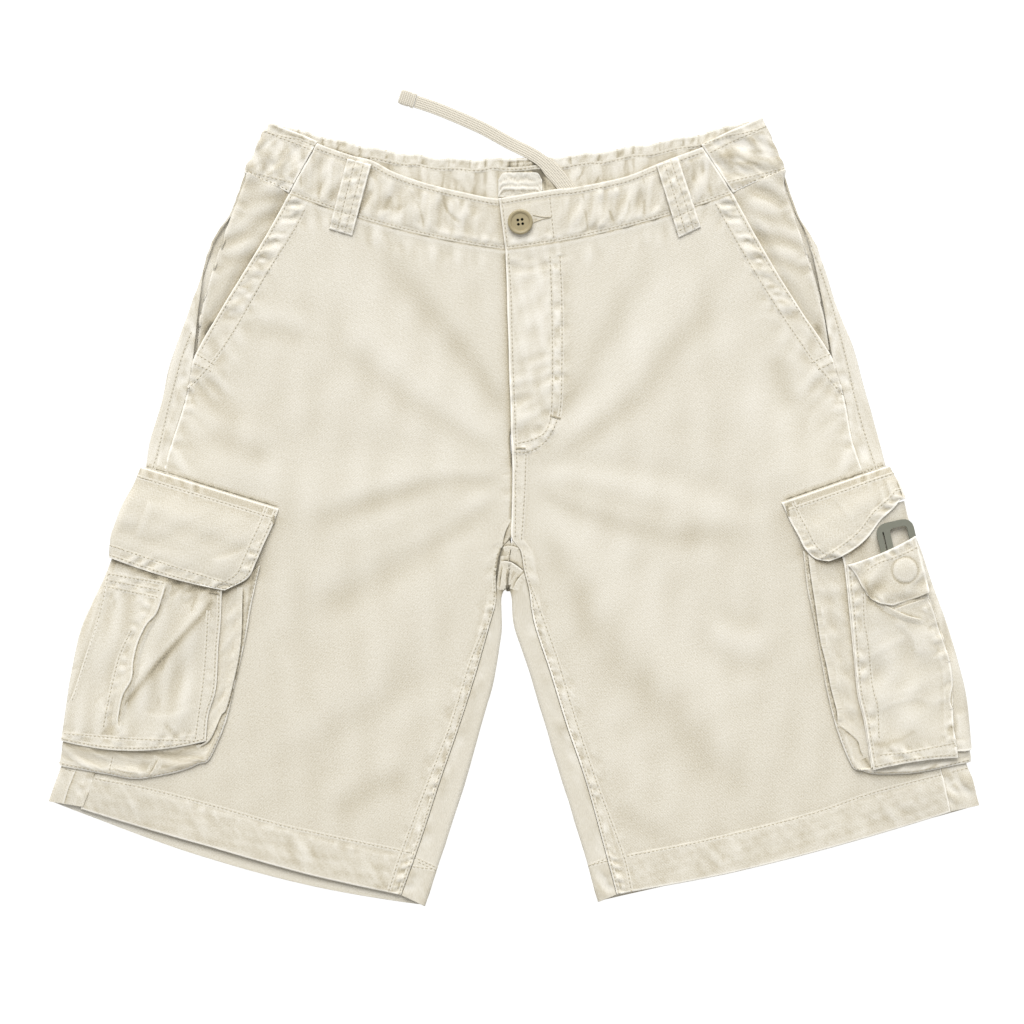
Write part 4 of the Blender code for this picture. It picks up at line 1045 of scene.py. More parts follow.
def twill_finish(name, colour, painted_light_and_wear, deep):
    """Washed cotton twill: fine slanting ribs, soft crumple, paler where the seams' edges wear; its
    tone attribute also paints shade and highlight.
    """
    made = Finish(name, colour, 0.92, Specular_IOR_Level=0.18, Sheen_Weight=0.12, Sheen_Roughness=0.6)
    weave, place = made.weave(), made.place()
    turn = add_node(made.tree, "ShaderNodeMapping", Rotation=(0, 0, math.radians(-35)))
    made.tree.links.new(weave, turn.inputs["Vector"])
    ribs = made.wave(turn.outputs[0], Scale=0.314 / 1.7, Distortion=1.6, Detail=2.0,
                     **{"Detail Scale": 1.1})
    grain = made.noise(weave, 0.62, 3.0, 0.65)
    nap = made.noise(weave, 1.25, 2.0, 0.6)
    cloud = made.noise(place, 34.0, 3.0, 0.55)
    rumple = made.noise(place, 150.0, 2.0, 0.5)
    tone = Amount(made.tree, made.source("ShaderNodeAttribute", "Fac", attribute_name="tone"))
    # paler where the edges wear and where highlight is painted, deeper where shade is painted, a little
    # cloudy all over
    speckle = (grain - 0.5) * 1.5 + (nap - 0.5) * 2.4
    total = ((cloud - 0.5) * 0.18 + speckle) + ((ribs - 0.5) * 0.18 + tone)
    share = total.join("MULTIPLY_ADD", 0.25, clamp=True)
    share.socket.node.inputs[2].default_value = 0.5
    made.tint(share, (0, shaded(deep, 0.40)), (0.25, deep), (0.5, colour), (0.75, painted_light_and_wear),
              last=(1, tuple(min(0.95, part * 1.09) for part in painted_light_and_wear)))
    made.relief(ribs * 0.03 + grain * 0.14 + nap * 0.09 + rumple * 0.12 + cloud * 0.10)
    return made.material


def thread_finish(name, colour):
    """Spun sewing thread with a slanting twist."""
    made = Finish(name, colour, 0.75, Specular_IOR_Level=0.25)
    place = made.place()
    made.tint(made.noise(place, 120.0), (0, shaded(colour, 0.86)), last=(1, shaded(colour, 1.06)))
    made.relief(made.wave(place, Scale=900.0, Distortion=0.6, bands_direction="DIAGONAL"), 0.08)
    return made.material


def plastic_finish(name, colour, roughness, grain, mottle=0.08, **sockets):
    """Moulded plastic with a fine grain and slightly uneven colour."""
    made = Finish(name, colour, roughness, **sockets)
    place = made.place()
    made.tint(made.noise(place, 260.0, 3.0), (0, shaded(colour, 1 - mottle)),
              last=(1, shaded(colour, 1 + mottle)))
    made.relief(made.noise(place, grain), 0.05)
    return made.material


def braid_finish(name, colour):
    """Flat woven braid: lengthwise ribs crossed by strands that change their slant at each rib."""
    made = Finish(name, colour, 0.85, Specular_IOR_Level=0.2)
    weave = made.weave()
    parts = add_node(made.tree, "ShaderNodeSeparateXYZ")
    made.tree.links.new(weave, parts.inputs[0])
    along, over = (Amount(made.tree, parts.outputs[k]) for k in (0, 1))
    rib = over.join("PINGPONG", 0.85)
    strand = ((along + rib) * 4.6).join("SINE")
    valley = rib.join("DIVIDE", 0.85).join("POWER", 0.6)
    # darker towards the grooves between the ribs: painted shade
    made.tint(valley * 0.55 + (strand * 0.12 + made.noise(weave, 1.4, 3.0) * 0.35),
              (0.1, (0.57, 0.51, 0.40)), last=(0.85, (0.90, 0.86, 0.76)))
    made.relief(strand * 0.10 + valley * 0.32)
    return made.material


TWILL = twill_finish("stone_twill_cloth", (0.695, 0.655, 0.560), (0.86, 0.83, 0.76),
                     (0.50, 0.445, 0.33))
LABEL = twill_finish("label_cloth", (0.745, 0.715, 0.635), (0.87, 0.85, 0.79),
                     (0.55, 0.50, 0.40))
THREAD = thread_finish("tan_thread", (0.56, 0.505, 0.385))
BRAID = braid_finish("cream_cord_braid", (0.70, 0.64, 0.50))
CLIP_PLASTIC = plastic_finish("clip_plastic", (0.200, 0.205, 0.165), 0.5, 1500.0)
BUTTON_PLASTIC = plastic_finish("button_plastic", (0.38, 0.32, 0.19), 0.42, 700.0, 0.12)
# a near-black finish for the disc that paints the shade in the button's holes
HOLE_SHADE = plastic_finish("dark_cavity", (0.004, 0.004, 0.003), 0.95, 700.0, Specular_IOR_Level=0.0)


# ---- painted shade and highlight ----
# for each piece, or all whose names start so:
# line, tone (below zero painted shade, above it painted highlight), reach on its left and right
SHADES = {
    "waistband_front_left": (
        (((139, 269), (149, 281), (152, 289)), 0.35, 8, 8),
        (((-7, 217), (6.5, 216), (21, 218.5)), 0.5, 5, 5),
        (((14.5, 233), (20, 233.5)), -2.2, 0.7, 0.7),
        (((113.5, 276), (123, 247), (131, 217.5)), -0.7, 1.6, 1.6),
    ),
    "front_right": (
        (((-113.5, -301.5), (-95, -306.5), (-77, -309)), -0.45, 8, 8),
        (((-254.5, 118.5), (-239, 111), (-229, 109.5)), -0.4, 8, 8),
        (((-189, -1), (-200, -27), (-209, -55)), -0.55, 7, 7),
        (((-7, 208), (-5, 173), (-4, 127), (-1.5, 65.5), (-0.5, 33)), -1.9, 2.6, 2.6),
        (((-0.5, 36), (-1, 11), (-1.5, -8)), -0.5, 1.6, 1.6),
        (((-198.5, -25.5), (-207, -57), (-213.5, -99), (-219, -119), (-226.5, -151)), -0.1, 2.0, 2.0),
    ),
    "phone_pocket": (
        (((293, -91), (301, -135), (306.5, -183)), 0.28, 26, 26),
        (((283, -71), (297, -77), (313, -74.5)), 0.35, 6, 6),
        (((278.5, -53), (283, -71), (293, -78.5), (302.5, -81.5), (313.5, -74.5),
          (334.5, -63)), -1.3, 2.6, 2.6),
        (((345.5, -170.5), (351, -173), (351, -177.5)), -1.8, 1.4, 1.4),
        (((285.5, -185.5), (296, -186.5), (309, -181.5), (321, -174.5)), -0.7, 2.4, 2.4),
    ),
    "cargo_bellows_right": (
        (((-299, -201.5), (-267, -205), (-246.5, -197)), -0.7, 5, 5),
        (((-246.5, -62.5), (-230.5, -65), (-213, -55), (-200, -29)), -1.5, 4, 4),
        (((-201, -27), (-209.5, -57), (-216, -99), (-221.5, -119), (-229, -151), (-237, -179),
          (-246, -197)), -1.0, 0.9, 0.9),
        (((-234.5, -65), (-237, -109), (-239, -141.5), (-247, -160), (-247, -184)), -1.3, 1.8, 1.8),
        (((-247, -184), (-269, -193.5), (-318.5, -192), (-342.5, -191), (-362.5, -183)), -1.0, 3, 3),
    ),
    "cargo_pocket_right": (
        (((-328, -172), (-315, -181)), -0.5, 5, 5),
        (((-325, -46.5), (-311, -51), (-291, -56)), 0.6, 4, 4),
        (((-322.5, -36), (-302.5, -47), (-277.5, -55), (-246.5, -62.5), (-230.5, -65), (-213, -55),
          (-200, -29)), -1.5, 4.5, 4.5),
        (((-240, -69), (-246, -79.5), (-257, -91), (-277, -113), (-291.5, -130.5), (-305.5, -148),
          (-312, -157)), -1.25, 3.2, 2.4),
        (((-318.5, -184), (-310.5, -181), (-301.5, -182.5)), -0.8, 1.5, 1.5),
        (((-325, -177.5), (-333, -181.5), (-341, -177.5)), -0.5, 2, 2),
    ),
    "phone_pocket_cuff": (
        (((283, -57.5), (297, -64), (313, -65)), -0.6, 6, 6),
        (((301.5, -77.5), (309, -75), (321, -70.5)), -1.3, 1.6, 1.0),
    ),
    "waistband_back": (
        (((165, 252), (185, 256), (203, 265)), -0.8, 7, 7),
        (((13.5, 276), (23, 265), (31, 257.5)), -1.3, 2.2, 2.2),
        (((-13, 271), (-13, 249)), -0.8, 0.8, 0.8),
        (((-11.5, 271), (-11.5, 249)), 0.6, 0.8, 0.8),
        (((21, 274.5), (33.5, 255)), -0.9, 4, 4),
        (((-193.5, 309.5), (-181, 301), (-157.5, 293), (-132, 284), (-96, 269.5)), -1.1, 2.4, 2.4),
        (((-96, 269.5), (-69.5, 261), (-41, 254.5), (-13, 249.5)), -0.5, 3, 3),
        (((31, 258.5), (88, 267), (111, 277), (151, 292), (192, 312)), -0.6, 2.6, 2.6),
    ),
    "back_right": (
        (((-281, 53), (-274.5, 79), (-266.5, 105)), -0.35, 6, 6),
        (((-2.5, -8), (-6.5, -15), (-9.5, -29), (-13, -45), (-14, -57)), -2.2, 2.6, 2.6),
    ),
    "back_left": (
        (((279, 89), (287, 65), (292, 45)), -0.35, 6, 6),
        (((7, -13), (9, -29), (8, -41.5), (9.5, -49)), -0.9, 2.4, 2.4),
    ),
    "cargo_bellows_left": (
        (((277, -207), (309, -208), (349, -201.5)), 0.5, 4, 4),
        (((233.5, -71), (237.5, -119), (246.5, -167), (257.5, -203)), -0.6, 5, 5),
        (((219, -5), (229, -22.5), (235, -34.5), (243, -40), (250.5, -41), (261, -37),
          (270.5, -32)), -1.5, 4, 4),
        (((232.5, -39), (237, -65.5), (244, -104), (250, -135), (256, -161)), -1.7, 2.0, 2.0),
        (((263, -41), (265.5, -59), (268, -85.5), (272, -111), (274.5, -143),
          (281, -173.5)), -1.2, 2.0, 2.4),
        (((261, -172), (267, -177), (275, -184), (277.5, -193), (286.5, -207)), -1.6, 1.2, 2.2),
        (((287, -209.5), (301, -209), (317, -209.5), (327, -208), (339, -201.5)), -1.2, 1.2, 2.0),
    ),
    "front_left": (
        (((214.5, 2.5), (223, -19), (230.5, -39)), -0.5, 7, 7),
        (((229.5, -24), (233, -48), (241.5, -103), (252, -152), (261, -185.5),
          (274.5, -206.5)), -0.6, 1.8, 1.8),
        (((274.5, -208), (289, -212), (313, -212), (328, -209.5)), -0.7, 2, 2),
    ),
    "pocket_facing_right": (
        (((-180, 257), (-187, 239), (-213, 197.5), (-239, 153), (-256, 122.5)), -1.2, 3.6, 3.6),
        (((-240, 152), (-247, 139)), -2.4, 3, 3),
    ),
    "pocket_facing_left": (
        (((175, 257), (194.5, 220), (218.5, 178.5), (239, 145.5), (253.5, 125)), -0.6, 3.2, 3.2),
        (((241, 151), (246.5, 140)), -1.2, 2.5, 2.5),
    ),
    "waistband_front_right": (
        (((-12.5, 249.5), (-7, 209)), -0.9, 4, 4),
        (((-113, 276), (-121, 250.5), (-129, 219)), -0.9, 1.6, 1.6),
    ),
    "back_": (
        (((-10.5, -29.5), (-3, -27), (3, -29.5), (8, -35)), -1.0, 0.8, 0.8),
        (((-11, -39), (-3, -40.5), (5, -45), (9.5, -49)), -1.6, 0.9, 1.2),
        (((-11, -41.5), (-3, -43), (5, -47)), 0.8, 0.7, 0.7),
        (((-9, -47), (-9, -59)), -0.8, 1.2, 1.2),
        (((-4, -47), (-4.5, -59)), -0.7, 1.2, 1.2),
        (((1.5, -49), (-1, -60)), -0.6, 1.0, 1.0),
        (((-13, -61.5), (1, -61.5)), -1.6, 3.0, 3.0),
    ),
    "cargo_pocket_left": (
        (((215, 4), (219, -5), (229, -22.5), (235, -34.5), (243, -39), (250.5, -40), (261, -36),
          (276, -28), (284, -19)), -1.4, 4, 4),
    ),
}


# ---- legs, fine ----
SLASH_BAND = 16.5       # width of the turned band along a slash pocket
HEM = 30.0
FELL = 7.0              # from a seam to its second row of stitches
FLY_TURN = ((36.8, 203), (38.4, 157), (37.6, 88), (33.6, 70), (24.8, 55), (11, 47), (-1, 46.5))


def front_shape(side, s):
    """Relief and tone of a leg's front; `s` holds its surface, as for every piece below."""
    fade = ramp(s.left, 0, 16) * ramp(s.bottom, 0, 24)
    h, painted_light_and_wear = slopes(s.x, s.y, SLOPES)
    h *= fade * ramp(s.top, 1, 12) * ramp(s.right, -3, 10)
    # painted shade and light along the folds
    s.tone += painted_light_and_wear * ramp(s.top, 4, 12)
    h += 0.05 * crumple(s.x, s.y, 30, 1)
    # painted light: paler towards the waist, a little more on the wearer's left
    s.tone += 0.0006 * s.y + (0.06 if side == "left" else 0.03)
    away = ramp(np.abs(s.x - 14), 26, 24)
    h += puckers(s.top, s.x, 11, 9, 0.10, 4, centre=12) * away + 0.35 * bell(s.top, 0, 4)
    # painted highlight just under the waist seam, painted shade in it
    s.tone += 0.25 * bell(s.top, 2.2, 1.1) - 1.0 * bell(s.top, 0, 0.8)
    # slash pocket: a turned band, pulled by its stitches
    across, along, _ = beside(s.x, s.y, SLASH[side])
    reach = np.abs(across)
    upper = smoothstep((s.y - SLASH[side][-1][1] + 4) / 8)
    h += upper * band_between(reach, 0, SLASH_BAND, 0.35)
    low = 0.45 + 0.55 * ramp(s.y, 240, -55)
    h += upper * low * puckers(reach, along, 8.5, 6.5, 0.95, 11, centre=SLASH_BAND * 0.5, slant=0.55)
    h += upper * puckers(reach, along, 10.5, 5, 0.16, 12, centre=SLASH_BAND + 3, slant=-0.4)
    # a paler line along the band's inner edge, and painted light and shade in uneven cells over its
    # puckers
    s.tone += upper * 0.25 * np.exp(-((reach - SLASH_BAND) / 1.5) ** 2)
    s.tone += upper * low * 0.60 * bell(reach, 9, 6) * crumple(along + 0.55 * reach, reach / 2.5, 8, 13)
    # the outer border's paleness and painted highlight taken back near the hem of the wearer's right
    # front
    s.tone -= 1.3 * (side == "right") * bell(s.left, 0.8, 0.9) * ramp(s.y, -195, -8)
    # below it: the side seam
    lower = 1 - upper
    near = ramp(s.y, 10, 40)
    h += lower * puckers(s.left, s.y, 8, 7, 0.26, 21, centre=2, slant=0.3) * near
    h += lower * puckers(s.left, s.y, 20, 17, 0.30, 22, centre=12, slant=0.7) * near
    # hem: turned up, faintly roped between its edge and its stitches
    h += band_between(s.bottom, -2, HEM, 0.3)
    h += puckers(s.bottom, s.x, 11, 12, 0.09, 31, centre=HEM * 0.5, slant=0.6)
    h += puckers(s.bottom, s.x, 8, 3.5, 0.10, 32, centre=HEM - 1, slant=-0.3)
    s.tone += 0.12 * smoothstep((HEM - s.bottom) / 3) * crumple(s.x + 0.5 * s.bottom, s.bottom, 10, 33)
    # inseam: felled, two rows
    leg = ramp(s.y, -62, -14)
    h += leg * band_between(s.right, -2, FELL + 1, 0.35)
    h += leg * puckers(s.right, s.y, 8, 4.0, 0.30, 41, centre=FELL * 0.55, slant=0.3)
    h += leg * puckers(s.right, s.y, 9, 6, 0.12, 42, centre=FELL + 4, slant=-0.5)
    s.tone += leg * 0.35 * crumple(s.y, s.right, 8, 43) * bell(s.right, 3.5, 2.5)
    # crotch and centre front
    middle = ramp(s.y, 46, -8) * ramp(s.y, -62, 10)
    h += middle * puckers(s.right, s.y, 9, 5, 0.08, 51, centre=4, slant=0.2)
    # painted shade along the centre edge, the crotch and where they meet
    s.tone -= 1.2 * (side == "right") * bell(s.right, 0.9, 0.8) * ramp(s.y, -30, 10)
    arch = ramp(s.y, -20, -3) * ramp(s.y, -72, 12)
    s.tone -= arch * 2.0 * bell(s.right, 0.6, 1.0)
    s.tone -= 0.5 * np.exp(-((s.x + 6) / 5) ** 2 - ((s.y + 22) / 9) ** 2)
    if side == "left":
        across, along, _ = beside(s.x, s.y, FLY_TURN)
        inside = smoothstep((-across + 1) / 2) * ramp(s.x, -14, 4) * ramp(s.y, 44, 5)
        h += 0.45 * inside
        h += 0.30 * bell(across, -3, 7) * crumple(along, across / 2, 10, 61) * ramp(s.y, 40, 10)
        h += inside * 0.30 * crumple(s.x, s.y, 15, 62, 2.2, 20) * ramp(s.y, 150, -60)
        h += inside * 0.15 * crumple(s.x, s.y, 12, 63, 2.0, 90)
        h += middle * band_between(s.right, -1, 10, 0.4)
        # painted light on the fly
        s.tone += 0.25 * inside * ramp(s.y, 90, 60) * bell(s.x, 14, 14) * ramp(s.y, 195, -15)
        h += inside * 0.30 * crumple(s.x, s.y, 12, 65, 1.6, 10) * bell(s.y, 197, 8)
        s.tone += 0.35 * bell(across, -4, 2.2) * ramp(s.y, 40, 8) * crumple(along, across, 9, 64)
    return h


def back_shape(side, s):
    """Relief and tone of a leg's back: its side strip on top, its large face on the table."""
    up = ramp(s.z, 2.5, 1.5)
    h = up * puckers(s.left, s.y, 8.5, 6, 0.30, 71, centre=4, slant=0.3)
    h += up * band_between(s.left, -2, FELL, 0.3)
    h += up * puckers(s.right, s.y, 8.5, 5, 0.20, 72, centre=3, slant=0.3)
    h += puckers(s.bottom, s.x, 10, 13, 0.16, 74, centre=HEM * 0.5, slant=0.5) * up
    h += band_between(s.bottom, -2, HEM, 0.25)
    h += (1 - up) * puckers(s.bottom, s.x, 9, 6, 0.16, 76, centre=HEM)
    h += ((1 - up) * (0.30 * crumple(s.x, s.y, 60, 77) + 0.10 * crumple(s.x, s.y, 24, 78))
          * ramp(s.bottom, 0, 30) * ramp(s.top, 0, 20))
    s.tone += 0.3 * up * crumple(s.y, s.left, 12, 75) * bell(s.left, 0, 6)
    # painted light: the turned strips paler, more so towards the waist
    s.tone += up * (0.05 + 0.3 * ramp(s.y, -20, 60))
    h -= 1.0 * (1 - up) * bell(s.bottom, 0, 10)
    # painted shade on the low layer under the front's hem, painted light towards its outer edge on the
    # wearer's right, painted shade under the crotch
    s.tone -= (0.10 if side == "right" else 0.45) * (1 - up) * bell(s.bottom, 0, 26)
    s.tone += 0.5 * (side == "right") * (1 - up) * ramp(s.x, -290, -20)
    s.tone -= 1.1 * np.exp(-((s.x + 9) / 13) ** 2 - ((s.y + 55) / 13) ** 2)
    return h


def facing_shape(side, s):
    h = puckers(s.left, s.y, 9, 5, 0.12, 81, centre=4, slant=0.3) + 1.0 * bell(s.top, 0, 6)
    h += 0.45 * ramp(s.y, 170, 50) * crumple(s.x, s.y, 20, 82, 2.5, 25 * -sign(side))
    h += 0.55 * bell(s.left, 0, 5) * ramp(s.bottom, 0, 25)
    # a little painted shade all over, behind the slash edge
    s.tone -= 0.03
    return h


# ---- waistband, fine ----
def sharp_dents(x, y, size, seed, stretch, turn, thin=0.24):
    """Narrow valleys that wander through the cloth, about one deep."""
    return np.exp(-(crumple(x, y, size, seed, stretch, turn) / thin) ** 2)


def band_front_shape(side, s):
    """Crumpled band, calm beside the button and pulled in along both rows of stitches."""
    calm = 0.25 + 0.75 * ramp(np.abs(s.x - BUTTON[0]), 26, 22)
    belly = 0.35 + 0.65 * np.sin(math.pi * np.clip(s.v, 0, 1))
    h = calm * belly * 0.45 * crumple(s.x, s.y, 18, 91, 2.4, 80)
    dents = (calm * belly * sharp_dents(s.x, s.y, 34, 97 + (side == "left"), 2.6, 84)
             * smoothstep(crumple(s.x, s.y, 26, 98) + 0.6))
    h -= 0.50 * dents
    # painted shade in the dents and in the seam along the bottom, a little painted light all over
    s.tone += 0.08 - 0.60 * dents - 1.0 * bell(s.bottom, 0, 0.8)
    h += calm * 0.21 * crumple(s.x, s.y, 8, 92, 2.6, 95) * belly
    h -= 0.75 * (1 - ramp(s.bottom, 0, 7))
    h += calm * puckers(s.top, s.x, 8, 5, 0.20, 93, centre=9)
    h += puckers(s.bottom, s.x, 8, 4.5, 0.22, 94, centre=5)
    h -= 0.30 * bell(s.top, 6.0, 1.3) + 0.2 * bell(s.bottom, 3.0, 1.2)
    s.tone += 0.3 * crumple(s.x, s.bottom, 9, 95) * bell(s.bottom, 2, 3)
    s.tone += 0.15 * calm * crumple(s.x, s.y, 14, 96, 1.6, 80)
    return h


def band_back_shape(s):
    """Elastic casing: close gathers at the back, slanting tucks where it comes round."""
    side_way = np.minimum(s.left, s.right)
    front = ramp(side_way, 62, -14)
    flat = 1 - front
    below = ramp(s.top, 8.6, 1.5)
    tucks = sum(np.exp(-((s.x - at - 3 * math.sin(at)) / 0.8) ** 2) for at in range(-190, 200, 17))
    dents = sharp_dents(s.x, s.top, 26, 108, 3.2, 90) * smoothstep(crumple(s.x, s.top, 30, 109) + 0.5)
    h = -flat * below * (0.42 * crumple(s.x, s.top, 15, 101, 3.0, 90) - 0.40 * dents)
    h -= flat * 0.16 * crumple(s.x, s.top, 8, 102, 2.5, 90) * below
    h -= flat * (1 - below) * (0.30 * crumple(s.x, s.top, 9, 107, 3, 90) + 0.40 - 0.5 * tucks)
    # painted shade in the tucks, the dents and along the casing's seam
    s.tone -= flat * (0.75 * tucks * (1 - below) + 0.5 * dents * below)
    s.tone -= flat * 0.9 * bell(s.top, 9.0, 1.0)
    elastic = flat * np.exp(-((s.x - 11) / 19) ** 8) * np.exp(-((s.top - 7) / 7) ** 6)
    cells = np.sin(2 * math.pi * s.x / 4.1) + np.sin(2 * math.pi * s.top / 4.0)
    h -= elastic * 0.30 * cells
    # painted light and shade over the elastic's cells, and painted shade beside the cord
    s.tone += elastic * (0.30 * cells - 0.35)
    s.tone -= 0.7 * flat * np.exp(-((s.x - 9) / 17) ** 4 - ((s.top - 9) / 9) ** 4)
    belly = 0.45 + 0.55 * np.sin(math.pi * np.clip(s.v, 0, 1))
    lean = np.where(s.left < s.right, 1.0, -1.0)
    pinch = front * belly * sharp_dents(s.left + lean * 0.6 * s.top, s.top, 30, 110, 2.2, 90)
    h += (front * 0.50 * crumple(s.left + lean * 0.5 * s.top, s.top, 15, 103, 2.2, 90) * belly
          - 0.75 * pinch)
    h += front * 0.20 * crumple(s.left - 0.5 * s.top, s.top, 8, 104, 2.0, 90)
    # painted light on the sides and below the casing's seam, painted shade in the pinches
    s.tone += 0.22 * front - 0.75 * pinch + 0.15 * flat * below
    h -= front * 0.75 * (1 - ramp(s.bottom, 0, 7))
    h -= 0.35 * bell(s.top, 5.0, 1.4) * front
    s.tone += 0.25 * crumple(s.left, s.top, 10, 105) * front
    s.tone += 0.3 * flat * crumple(s.left, s.top, 9, 106) * bell(s.top, 4, 4)
    return h


def loop_shape(s):
    rows = bell(s.left, 6.6, 1.1) + bell(s.right, 6.2, 1.1)
    h = -0.30 * rows + 0.20 * crumple(s.left, s.top, 7, 111, 1.5, 0)
    h += 0.5 * bell(s.bottom, 9, 4) - 0.35 * bell(s.bottom, 15.5, 1.2)
    s.tone += 0.25 * bell(s.u, 0.5, 0.2) * crumple(s.top, s.left, 12, 112)
    return h


# ---- cargo pockets, fine ----
STRIP_RIDGE = ((-278.4, -55.2), (-284, -73.6), (-298.4, -99.2), (-305.6, -127.2), (-316, -151.2),
               (-318.4, -178.4))
FACE_CREASES = {
    "right": (
        (((-313, -156), (-296.8, -134.4), (-276, -110.4), (-247.2, -79.2), (-241, -66)), 1.2, 3.2, 16),
        (((-318, -171), (-314.5, -176), (-315.5, -181)), 0.8, 1.4, 6),
        (((-248, -150), (-262, -158), (-280, -163), (-300, -160)), 0.45, 3.0, 10),
    ),
    "left": (
        (((352, -160), (354, -172), (352, -182)), 0.9, 1.6, 6),
    ),
}
FLAP_CREASES = {
    "right": (
        (((-196, -20), (-222, -34), (-246, -40)), 0.55, 2.5, 9),
        (((-290, 12), (-296, -6), (-302, -22)), 0.5, 2.5, 8),
    ),
    "left": (
        (((296, 27), (300, 14), (303, 2)), 1.0, 1.6, 6),
        (((291, 20), (294, 8), (295, -2)), 0.5, 1.8, 6),
        (((252, 14), (262, 2), (270, -10)), 0.4, 2.5, 9),
    ),
}
PHONE_CREASES = (
    (((333, -70), (341, -92), (345, -112), (346, -138)), 0.5, 2.2, 8),
    (((296, -79), (311, -86), (330, -90)), 0.9, 1.5, 8),
    (((300, -87), (316, -100), (322, -118)), 0.6, 3.0, 9),
    (((280, -165), (300, -155), (322, -150), (340, -158)), 0.5, 3.0, 10),
    (((272, -128), (292, -112), (318, -100)), 0.5, 3.5, 12),
    (((280, -160), (300, -148), (326, -143)), 0.4, 3.5, 10),
    (((351, -166), (352.5, -175), (350, -184)), 0.8, 1.4, 5),
)


def face_shape(side, s):
    """Pocket face with sharp folds, sewn all round; the right one has a centre strip."""
    up = ramp(s.z, 8, 2.5)
    h = up * creases(s.x, s.y, FACE_CREASES[side])
    h += up * puckers(s.left, s.top, 8.5, 5, 0.22, 121, centre=4, slant=0.3)
    h += up * puckers(s.bottom, s.left, 8.5, 6, 0.24, 122, centre=5, slant=0.35)
    h += up * band_between(s.left, -2, 7.5, 0.3) + up * band_between(s.bottom, -2, 9, 0.3)
    h += (up * 0.36 * crumple(s.x, s.y, 44, 123, 1.6, 60)
          + up * 0.26 * crumple(s.x, s.y, 20, 124, 1.8, 70))
    wrinkle = (up * sharp_dents(s.x, s.y, 60, 127, 2.0, 65, 0.16)
               * smoothstep(crumple(s.x, s.y, 40, 128)))
    h -= 0.30 * wrinkle
    # painted shade in the wrinkles' valleys, a little paler elsewhere
    s.tone -= 0.25 * wrinkle - 0.06
    h += up * 0.22 * crumple(s.x, s.y, 9, 129, 1.3, 20) * bell(s.y, -60, 12)
    if side == "right":
        across, along, _ = beside(s.x, s.y, STRIP_RIDGE)
        ridge = up * ramp(s.y, -190, 12)
        outer = smoothstep(-across / 3)
        h += ridge * (1 - outer) * 0.5
        h += ridge * bell(across, -6, 5) * 0.2 * crumple(along, across, 11, 126)
    return h


def flap_shape(side, s):
    """Flap with stitched borders that stay flatter than its soft middle."""
    up = ramp(s.z, 6.2, 2.0)
    h = up * creases(s.x, s.y, FLAP_CREASES[side])
    h += up * puckers(s.top, s.left, 9, 6, 0.24, 131, centre=5, slant=0.3)
    h += up * puckers(s.bottom, s.left, 8.5, 6, 0.20, 132, centre=5, slant=-0.3)
    h += up * puckers(s.left, s.top, 8, 5, 0.20, 133, centre=5)
    h += up * band_between(s.top, -2, 8, 0.2) + up * band_between(s.bottom, -2, 10, 0.25)
    # painted shade along the flap's top strip
    s.tone -= 0.4 * ramp(s.top, 9, -2) + 0.25 * ramp(s.top, 18, -8)
    middle = np.sin(math.pi * np.clip(s.v, 0, 1))
    soft = 0.42 * crumple(s.x, s.y, 44, 134, 1.5, 150) + 0.14 * crumple(s.x, s.y, 20, 136, 1.6, 10)
    h += up * soft * middle
    s.tone += up * 0.25 * crumple(s.left, s.bottom, 11, 135) * bell(s.bottom, 0, 4)
    return h


def bellows_shape(s):
    """Gusset with one ridge, paler from wear and a painted highlight."""
    run = s.left
    h = 0.22 * crumple(run, s.top, 24, 141, 1.0, 0) * np.sin(math.pi * np.clip(s.v, 0, 1))
    h += 0.08 * crumple(run, s.top, 13, 144)
    h += puckers(s.bottom, run, 9, 4, 0.07, 142, centre=5, slant=0.4)
    # painted highlight along the ridge, which is also paler from wear
    s.tone += 0.5 * bell(s.v, 0.76, 0.05) * (0.6 + 0.4 * crumple(run, s.top, 12, 143))
    return h


def phone_shape(s):
    """Small pocket with pulled seams and folds over what it could hold."""
    h = creases(s.x, s.y, PHONE_CREASES)
    h += puckers(s.left, s.top, 8.5, 5, 0.22, 151, centre=4)
    h += puckers(s.right, s.top, 8.5, 6, 0.28, 152, centre=5, slant=0.3)
    h += puckers(s.bottom, s.left, 9, 7, 0.24, 153, centre=5, slant=0.35)
    h += band_between(s.right, -2, 8, 0.3) + band_between(s.bottom, -2, 9, 0.3)
    h += 0.40 * crumple(s.x, s.y, 40, 154, 1.7, 120) + 0.16 * crumple(s.x, s.y, 20, 155, 1.5, 60)
    s.tone += 0.3 * crumple(s.top, s.right, 12, 156) * bell(s.right, 0, 4)
    return h


def cuff_shape(s):
    """Cuff pressed down round its covered fastener."""
    h = puckers(s.top, s.left, 8, 4, 0.2, 161, centre=3)
    h += puckers(s.bottom, s.left, 8, 4, 0.25, 162, centre=3, slant=0.3)
    away = np.hypot(s.x - BUMP[0], s.y - BUMP[1])
    h += 0.25 * (1 - smoothstep((away - BUMP_RADIUS + 2) / 3))
    h -= 0.35 * np.exp(-((away - BUMP_RADIUS) / 1.2) ** 2)
    h += 0.45 * crumple(s.x, s.y, 16, 163, 1.8, 20) * ramp(away, 11, 4)
    # painted shade in the groove round the fastener, painted light on its dome
    s.tone -= 0.55 * np.exp(-((away - BUMP_RADIUS) / 0.9) ** 2) - 0.1 * (away < BUMP_RADIUS)
    return h


